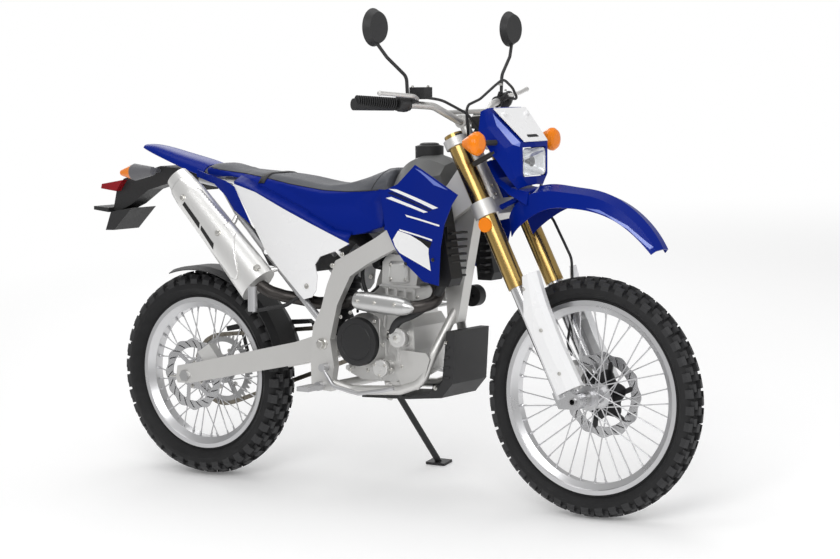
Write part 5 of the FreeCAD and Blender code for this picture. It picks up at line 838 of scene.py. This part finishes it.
# Skid plate: a black moulded shell that guards the engine's front and belly. It is screwed to the
# frame's cradle, and low moulded ribs stiffen its side walls.
PLATE_RIBS = (0.375, 0.405, 0.435, 0.465)
PLATE_RIB_LIFT, PLATE_RIB_THICKNESS = 0.0030, 0.0036
dress(black_plastic, "skid_plate")
plate_skin = skin(frame["nodes"]["skid_plate"].data)
film("skid_ribs", [[(0.905, z), (0.985, z + 0.004), (0.985, z + 0.010), (0.905, z + 0.006)]
                   for z in PLATE_RIBS], plate_skin, black_plastic, "chassis", PLATE_RIB_LIFT,
     PLATE_RIB_THICKNESS)
fitted("skid_screws", skin_bolts(plate_skin, ((0.930, 0.490), (0.930, 0.355)), 0.010), bolt_zinc, "chassis")

# Side covers: white plastic panels, injection-moulded, that close the space beside the airbox. Each is
# pushed into rubber grommets along its top, and one flush screw holds it low down.
COVER_SCREW = ((-0.001, 0.0085), (0.0010, 0.0085), (0.0018, 0.0068), (0.0008, 0.0035))
dress(white_plastic, "side_covers")
cover_skin = skin(frame["nodes"]["side_covers"].data)
fitted("cover_screws", [turned(COVER_SCREW, *on_skin(cover_skin, 0.511, 0.634, side), 20)
                        for side in (-1, 1)], bolt_zinc, "chassis")

# Seat: moulded foam under stretched vinyl, stapled to a plastic base and held by two bolts. The top is
# grained dark vinyl, the sides are smooth blue vinyl sewn to it with a corded seam, and a webbing strap
# for the passenger crosses it. Blue skirts hang from its edge and tuck in behind the side covers.
VINYL_VOXEL = 0.006
FOAM_SHRINK = 0.0030
FOAM_RISE = 0.0070
FOAM_PRESSURE = 4
CLOTH_FRAMES = 20
STAPLED_SLOPE = -0.3
SMOOTH_SHARE, SMOOTH_ROUNDS = 0.5, 6
SEAM_LINE = ((0.050, 0.985), (0.120, 0.974), (0.215, 0.964), (0.315, 0.952), (0.406, 0.937), (0.534, 0.921),
             (0.620, 0.919), (0.700, 0.923), (0.740, 0.927), (0.780, 0.932))
TOP_HALF = 0.05
PIPING_START, PIPING_STEP, PIPING_COUNT = 0.075, 0.029, 24
SKIRT_START, SKIRT_STEP, SKIRT_COUNT = 0.212, 0.0152, 31
SKIRT_TOP, SKIRT_SEARCH, SEARCH_COUNT = 0.96, 0.002, 140
SKIRT_THICKNESS = 0.0018
SEARCH_REACH = 0.58
STRAP_X, STRAP_HALF, STRAP_THICKNESS = 0.300, 0.0115, 0.0022
PIPING_LIFT, SEAM_LIFT, STRAP_LIFT = 0.0002, 0.0003, 0.0016
SEAT_AIM_Z, LEAN_FROM_Z, AIM_REACH = 0.88, 0.95, 0.4
top_vinyl = finish("top_vinyl", (0.070, 0.074, 0.086), rough=0.52, grain=1100, depth=0.6, fade=0.18,
                   patch=14)
side_vinyl = finish("side_vinyl", (0.001, 0.0145, 0.228), rough=0.36, grain=1300, depth=0.25, fade=0.12,
                    patch=8, shine=0.08)
strap_vinyl = finish("strap_vinyl", (0.016, 0.016, 0.018), rough=0.5, grain=1300, depth=0.5, fade=0.2)


def evaluated(piece):
    return piece.evaluated_get(bpy.context.evaluated_depsgraph_get())


def even_copy(name, voxel):
    """The seat's solid as a mesh of even small faces that cloth can stretch."""
    rough = put(name, frame["nodes"]["seat"].data.copy())
    even = rough.modifiers.new("even", "REMESH")
    even.mode = "VOXEL"
    even.voxel_size = voxel
    even_mesh = bpy.data.meshes.new_from_object(evaluated(rough))
    rough.modifiers.clear()
    rough.data = even_mesh
    return rough


def puff(pad):
    """The foam's rise: the cover swells off its stapled edge, and no point may move past the cap."""
    mesh = pad.data
    for spot, normal in zip(mesh.vertices, [spot.normal.copy() for spot in mesh.vertices]):
        spot.co = spot.co - normal * FOAM_SHRINK
    base = pad.vertex_groups.new(name="stapled_edge")
    up = parked.to_3x3() @ Vector((0, 0, 1))
    base.add([spot.index for spot in mesh.vertices if spot.normal.dot(up) < STAPLED_SLOPE], 1.0, "REPLACE")
    cover = pad.modifiers.new("cover", "CLOTH")
    cover.settings.use_pressure = True
    cover.settings.uniform_pressure_force = FOAM_PRESSURE
    cover.settings.vertex_group_mass = "stapled_edge"
    cover.settings.effector_weights.gravity = 0
    cover.settings.quality = 4
    cover.point_cache.frame_start = 1
    cover.point_cache.frame_end = CLOTH_FRAMES
    for step in range(1, CLOTH_FRAMES + 1):
        bpy.context.scene.frame_set(step)
    swollen = bpy.data.meshes.new_from_object(evaluated(pad))
    pad.modifiers.clear()
    pad.vertex_groups.clear()
    for spot, moved in zip(mesh.vertices, swollen.vertices):
        shift = moved.co - spot.co
        if shift.length > FOAM_RISE:
            shift *= FOAM_RISE / shift.length
        spot.co = spot.co + shift
    bpy.data.meshes.remove(swollen)
    bpy.context.scene.frame_set(1)


seat = even_copy("padded_seat", VINYL_VOXEL)
puff(seat)
seat.data.materials.clear()
for material in (top_vinyl, side_vinyl):
    seat.data.materials.append(material)
for face in seat.data.polygons:
    middle = upright @ face.center
    face.material_index = 0 if middle.z > read_off(SEAM_LINE, middle.x) or abs(middle.y) < TOP_HALF else 1
seat.data.shade_smooth()
smooth = seat.modifiers.new("even_vinyl", "SMOOTH")
smooth.factor = SMOOTH_SHARE
smooth.iterations = SMOOTH_ROUNDS
rounder = seat.modifiers.new("fine_vinyl", "SUBSURF")
rounder.levels = 1
rounder.render_levels = 1
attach(seat, "chassis")
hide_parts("seat")
bpy.context.view_layer.update()
vinyl_skin = skin(evaluated(seat).to_mesh())


def first_met(surface, x, side, height, step):
    """Where a level line from one side first meets a surface, tried again step by step up or down."""
    for k in range(SEARCH_COUNT):
        start = Vector((x, side * SIDE_REACH, height + step * k))
        place = surface.ray_cast(start, LEFT * -side, SEARCH_REACH)[0]
        if place is not None:
            return place


for side, label in ((-1, "right"), (1, "left")):
    # Three rows: just inside the foam's edge, half way down, and behind the side cover's top edge
    rows = ([], [], [])
    for x in [SKIRT_START + SKIRT_STEP * k for k in range(SKIRT_COUNT)]:
        top = first_met(cover_skin, x, side, SKIRT_TOP, -SKIRT_SEARCH)
        hem = first_met(vinyl_skin, x, side, top.z - 0.02, SKIRT_SEARCH)
        hem_y, top_y = abs(hem.y), abs(top.y)
        rows[0].append(Vector((x, side * (hem_y - 0.0015), max(hem.z + 0.008, top.z - 0.002))))
        rows[1].append(Vector((x, side * (max(hem_y, top_y - 0.003) + 0.0015), (hem.z + top.z) / 2)))
        rows[2].append(Vector((x, side * (top_y - 0.0025), top.z - 0.006)))
    skirt_faces = []
    for row in (0, SKIRT_COUNT):
        for k in range(row, row + SKIRT_COUNT - 1):
            corners = (k, k + 1, k + 1 + SKIRT_COUNT, k + SKIRT_COUNT)
            skirt_faces.append(corners if side > 0 else corners[::-1])
    skirt = fitted(f"seat_skirt_{label}", [(rows[0] + rows[1] + rows[2], skirt_faces)], side_vinyl, "chassis")
    thicken(skirt, "skirt_thickness", SKIRT_THICKNESS, 0)

for side, label in ((-1, "right"), (1, "left")):
    run = []
    for x in [PIPING_START + PIPING_STEP * k for k in range(PIPING_COUNT)]:
        place, out = on_skin(vinyl_skin, x, read_off(SEAM_LINE, x), side)
        run.append(place + out * PIPING_LIFT)
    hose(f"seat_piping_{label}", run, 0.0016, strap_vinyl, "chassis")


def over_seat(x, low_z, lean, count=26):
    """Places over the seat from one side to the other, in a plane that leans back by a share."""
    places = []
    aim = Vector((x, 0, SEAT_AIM_Z))
    target = aim + Vector((lean * (SEAT_AIM_Z - LEAN_FROM_Z), 0, 0))
    for turn in [math.pi * k / (count - 1) for k in range(count)]:
        start = aim + Vector((0, -math.cos(turn) * AIM_REACH,
                              math.sin(turn) * AIM_REACH + (low_z - SEAT_AIM_Z) * abs(math.cos(turn))))
        start.x += lean * (start.z - LEAN_FROM_Z)
        place, out, _, _ = vinyl_skin.ray_cast(start, (target - start).normalized())
        if place is not None:
            places.append((place, out))
    return places


strap_points = [place + out * STRAP_LIFT for edge in (-STRAP_HALF, STRAP_HALF)
                for place, out in over_seat(STRAP_X + edge, 0.90, 0.12)]
half = len(strap_points) // 2
strap_faces = [(k, k + 1, half + k + 1, half + k) for k in range(half - 1)]
strap = fitted("passenger_strap", [(strap_points, strap_faces)], strap_vinyl, "chassis")
thicken(strap, "webbing", STRAP_THICKNESS, 0)
hose("seat_cross_seam", [place + out * SEAM_LIFT for place, out in over_seat(0.722, 0.925, 0.35, 60)
                         if place.z > read_off(SEAM_LINE, place.x)], 0.0012, strap_vinyl, "chassis")

# Fork: gold anodised outer tubes in cast clamps over chromed sliders, with a screw cap on each tube and
# a white moulded guard down each slider. Pinch bolts close both clamps round the tubes.
RAKE = math.radians(26.7)
FORK_OFFSET = 0.055
FORK_Y, PINCH_Y = 0.103, 0.062
CAP_FORWARD, CAP_UP, GUARD_FORWARD = 0.030, 0.8405, 0.060
PINCH_BOLTS = ((0.645, 0.054), (0.672, 0.054), (0.800, 0.056), (0.824, 0.056))
CAP_FLANGE = ((-0.006, 0.0235), (0.004, 0.0235), (0.006, 0.0210), (0.006, 0.0120))
CAP_HEAD = ((0.0, 0.0105), (0.010, 0.0105), (0.011, 0.0090))
GUARD_BOLTS = (0.34825, 0.087, 0.220)
fork_forward = Vector((math.cos(RAKE), 0, math.sin(RAKE)))
fork_up = Vector((-math.sin(RAKE), 0, math.cos(RAKE)))
fork_foot = FRONT_AXLE - fork_forward * FORK_OFFSET
fork_gold = finish("fork_gold", (0.50, 0.34, 0.12), metal=1.0, rough=0.24, grain=900, depth=0.05)
fork_chrome = finish("fork_chrome", (0.68, 0.68, 0.69), metal=1.0, rough=0.16, grain=900, depth=0.04)
dress(fork_gold, "fork_tubes")
dress(fork_chrome, "fork_sliders")
dress(frame_alloy, "triple_clamps")
dress(white_plastic, "fork_guards")


def on_fork(forward, left, up):
    return fork_foot + fork_forward * forward + LEFT * left + fork_up * up


pinch_bolts, fork_caps, guard_bolts = [], [], []
guard_skin = skin(frame["nodes"]["fork_guards"].data)
for side in (-1, 1):
    pinch_bolts += [bolt(on_fork(forward, side * PINCH_Y, up), fork_forward, 0.0095)
                    for up, forward in PINCH_BOLTS]
    fork_caps += [turned(profile, on_fork(CAP_FORWARD, side * FORK_Y, CAP_UP), fork_up, sides)
                  for profile, sides in ((CAP_FLANGE, 30), (CAP_HEAD, 6))]
    places = [on_fork(GUARD_FORWARD, 0, up) for up in GUARD_BOLTS]
    guard_bolts += skin_bolts(guard_skin, [(place.x, place.z) for place in places], 0.008, (side,))
fitted("clamp_bolts", pinch_bolts, bolt_zinc, "steering")
fitted("fork_caps", fork_caps, cover_black, "steering")
fitted("guard_bolts", guard_bolts, bolt_zinc, "steering")

# Signals and tail lamp: amber moulded domes on black rubber stalks in front and in grey housings
# behind, round amber reflectors on the fork, and a red tail lamp. Fine ribs scatter the light inside.
REFLECTOR_TOP = 0.60
STALK_END_Y = 0.158
REAR_TIP_X, REAR_ROOT_Y = -0.172, 0.09
amber_lens = finish("amber_lens", (1.0, 0.255, 0.003), rough=0.14, coat=0.25, grain=200, depth=0.30,
                    fade=0.15, shine=0.25)
red_lens = finish("red_lens", (0.30, 0.004, 0.010), rough=0.12, coat=0.25, grain=200, depth=0.25, fade=0.2,
                  shine=0.25)
housing_grey = finish("housing_grey", (0.13, 0.13, 0.14), rough=0.40, grain=500, depth=0.15)
dress(red_lens, "tail_lamp")


def parted(name, node_name, body, materials, choose):
    """A CAD piece shown in its two finishes, each face by where it lies on the upright machine."""
    mesh = frame["nodes"][node_name].data.copy()
    mesh.materials.clear()
    for material in materials:
        mesh.materials.append(material)
    for face in mesh.polygons:
        face.material_index = choose(upright @ face.center, upright.to_3x3() @ face.normal)
    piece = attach(put(name, mesh), body)
    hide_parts(node_name)


def front_signal_part(place, out):
    """Amber for the reflectors low on the fork and for the domes, black for the stalks between."""
    low = (place - fork_foot).dot(fork_up) < REFLECTOR_TOP
    return 0 if low or abs(place.y) > STALK_END_Y else 1


parted("front_signal_lamps", "front_signals", "steering", (amber_lens, boot_rubber), front_signal_part)
parted("rear_signal_lamps", "rear_signals", "chassis", (amber_lens, housing_grey),
       lambda place, out: 0 if place.x < REAR_TIP_X and abs(place.y) > REAR_ROOT_Y else 1)

# Headlight and mask: a polished reflector under a clear lens with rounded corners, a dark bulb shade in
# its middle, and round it a blue moulded mask with a black lower edge, hung on the fork by rubber bands.
LENS_MIDDLE = Vector((1.2185, 0, 1.0155))
BULB_SHADE = ((-0.026, 0.004), (-0.008, 0.0120), (-0.006, 0.0150), (-0.002, 0.0140), (0.000, 0.0090))
# The bowl's and the glass's rings: half width, half height, corner radius and reach forward
BOWL = ((0.0600, 0.0400, 0.014, 0.0030), (0.0565, 0.0365, 0.014, 0.0010), (0.0480, 0.0300, 0.020, -0.0180),
        (0.0300, 0.0220, 0.020, -0.0320), (0.0120, 0.0120, 0.010, -0.0380))
GLASS = ((0.0600, 0.0400, 0.014, 0.0032), (0.0590, 0.0390, 0.014, 0.0060), (0.0400, 0.0260, 0.012, 0.0075),
         (0.0100, 0.0080, 0.006, 0.0080))
GLASS_THICKNESS = 0.0016
MASK_EDGE_X, MASK_EDGE_Z = 1.142, 1.05
chrome_bowl = finish("chrome_bowl", (0.86, 0.87, 0.88), metal=1.0, rough=0.10, grain=90, depth=0.5, patch=30)
lens_clear = finish("lens_clear", (0.96, 0.97, 0.98), rough=0.04, coat=1.0, grain=60, depth=0.05, fade=0.01)
for socket, value in (("Transmission Weight", 0.92), ("IOR", 1.2)):
    lens_clear.node_tree.nodes["Principled BSDF"].inputs[socket].default_value = value


def rounded(half_y, half_z, corner, forward, steps=6):
    """A ring round the lens's middle, with its corners rounded off."""
    points = []
    for quarter, (across, rise) in enumerate(((1, 1), (-1, 1), (-1, -1), (1, -1))):
        y, z = across * (half_y - corner), rise * (half_z - corner)
        for turn in [math.pi / 2 * (quarter + k / (steps - 1)) for k in range(steps)]:
            points.append(LENS_MIDDLE + Vector((forward, y + math.cos(turn) * corner,
                                                z + math.sin(turn) * corner)))
    return points


bowl = fitted("headlight_bowl", [lofted([rounded(*ring) for ring in BOWL], open_foot=True)], chrome_bowl,
              "steering", 40)
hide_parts("headlight")
glass = fitted("headlight_glass", [lofted([rounded(*ring) for ring in GLASS], open_foot=True)], lens_clear,
               "steering", 40)
thicken(glass, "glass", GLASS_THICKNESS, -1)
fitted("bulb_shade", [turned(BULB_SHADE, LENS_MIDDLE, (1, 0, 0), 24)], cover_black, "steering")
parted("mask_shell", "headlight_mask", "steering", (blue_plastic, black_plastic),
       lambda place, out: 1 if place.x < MASK_EDGE_X and place.z < MASK_EDGE_Z else 0)
# A painted highlight on the mask's upper fold, in lighter blue film
film("mask_painted_highlight", [[(1.138, 1.155), (1.146, 1.146), (1.222, 1.072), (1.221, 1.060), (1.203, 1.067),
                     (1.155, 1.120)]], skin(frame["nodes"]["headlight_mask"].data), painted_highlight_blue, "steering")

# Front fender: blue plastic, injection-moulded with a raised middle, and bolted under the lower clamp.
# A lighter blue film runs along the fold on each side: a painted highlight.
dress(blue_plastic, "front_fender")
film("fender_painted_highlight", [[(1.430, 0.890), (1.471, 0.886), (1.557, 0.845), (1.633, 0.786), (1.624, 0.780),
                       (1.560, 0.834), (1.493, 0.871)]], skin(frame["nodes"]["front_fender"].data), painted_highlight_blue,
     "steering")

# Screen: a small white plastic shield, moulded and screwed on over the mask. A slit low down lets
# the air through, and the shade inside it is painted on as a black film.
SCREEN_SLIT = ((-0.030, 1.086), (0.030, 1.086), (0.026, 1.093), (-0.026, 1.093))
SLIT_LIFT, AHEAD_X = 0.0008, 1.6
dress(white_plastic, "screen")
screen_skin = skin(frame["nodes"]["screen"].data)
slit = []
for y, z in SCREEN_SLIT:
    place, out, _, _ = screen_skin.ray_cast(Vector((AHEAD_X, y, z)), Vector((-1, 0, 0)))
    slit.append(place + out * SLIT_LIFT)
fitted("screen_painted_slit_shade", [(slit, [(0, 1, 2, 3)])], painted_shade_black, "steering")

# Passenger footrests: silver forged pegs, folded up on their springs, on black tube hangers that are
# bolted to the subframe.
PEG_Y, PEG_X = 0.200, 0.380
parted("folded_pegs", "passenger_pegs", "chassis", (cover_black, frame_steel),
       lambda place, out: 1 if abs(place.y) > PEG_Y and place.x < PEG_X else 0)

# Controls: a tapered aluminium bar in the top clamp's risers, with rubber grips, forged levers on their
# perches, moulded switch cases, mirrors on bent stems, and a small meter behind the mask.
GRIP_INNER, GRIP_OUTER = (0.9445, 0.284, 1.1865), (0.8810, 0.408, 1.1965)
GRIP_RINGS, FIRST_RING, NEXT_RING = 18, 0.08, 0.050
GRIP_RING = ((-0.0018, 0.0150), (-0.0010, 0.0162), (0.0010, 0.0162), (0.0018, 0.0150))
BAR_CASE = ((-0.003, 0.0160), (-0.001, 0.0215), (0.004, 0.0235), (0.020, 0.0240), (0.030, 0.0225),
            (0.034, 0.0170))
METER_FACE = ((1.045, -0.048), (1.045, 0.048), (1.095, 0.048), (1.095, -0.048))
METER_Z = (1.1495, 1.1530)
MIRROR_FOOT_Z, MIRROR_BACKWARD = 1.300, -0.9
PERCH_BOLTS = ((0.990, 0.215, 1.215), (0.962, 0.235, 1.232), (0.985, 0.190, 1.232))
grip_rubber = finish("grip_rubber", (0.016, 0.016, 0.017), rough=0.62, grain=700, depth=0.4)
mirror_glass = finish("mirror_glass", (0.75, 0.77, 0.80), metal=1.0, rough=0.05, grain=20, depth=0.01,
                      fade=0.02)
meter_glass = finish("meter_glass", (0.030, 0.036, 0.034), rough=0.08, coat=1.0, grain=40, depth=0.02)
dress(grip_rubber, "grips")
dress(boot_rubber, "control_lines")
dress(frame_alloy, "handlebar", "levers")
dress(black_plastic, "controls", "meter")
grip_rings, bar_cases, perch_bolts = [], [], []
for side in (-1, 1):
    inner, outer = [Vector((x, side * y, z)) for x, y, z in (GRIP_INNER, GRIP_OUTER)]
    grip_rings += [turned(GRIP_RING, inner.lerp(outer, FIRST_RING + NEXT_RING * k), outer - inner, 20)
                   for k in range(GRIP_RINGS)]
    bar_cases.append(turned(BAR_CASE, inner, inner - outer, 28))
    perch_bolts += [bolt((x, side * y, z), (0.2, 0, 1), 0.007) for x, y, z in PERCH_BOLTS]
fitted("grip_rings", grip_rings, grip_rubber, "steering")
fitted("meter_face", [lofted([[Vector((x, y, z)) for x, y in METER_FACE] for z in METER_Z])], meter_glass,
       "steering")
parted("mirror_heads", "mirrors", "steering", (black_plastic, mirror_glass),
       lambda place, out: 1 if place.z > MIRROR_FOOT_Z and out.x < MIRROR_BACKWARD else 0)
fitted("bar_cases", bar_cases, cover_black, "steering")
fitted("control_bolts", perch_bolts, bolt_zinc, "steering")
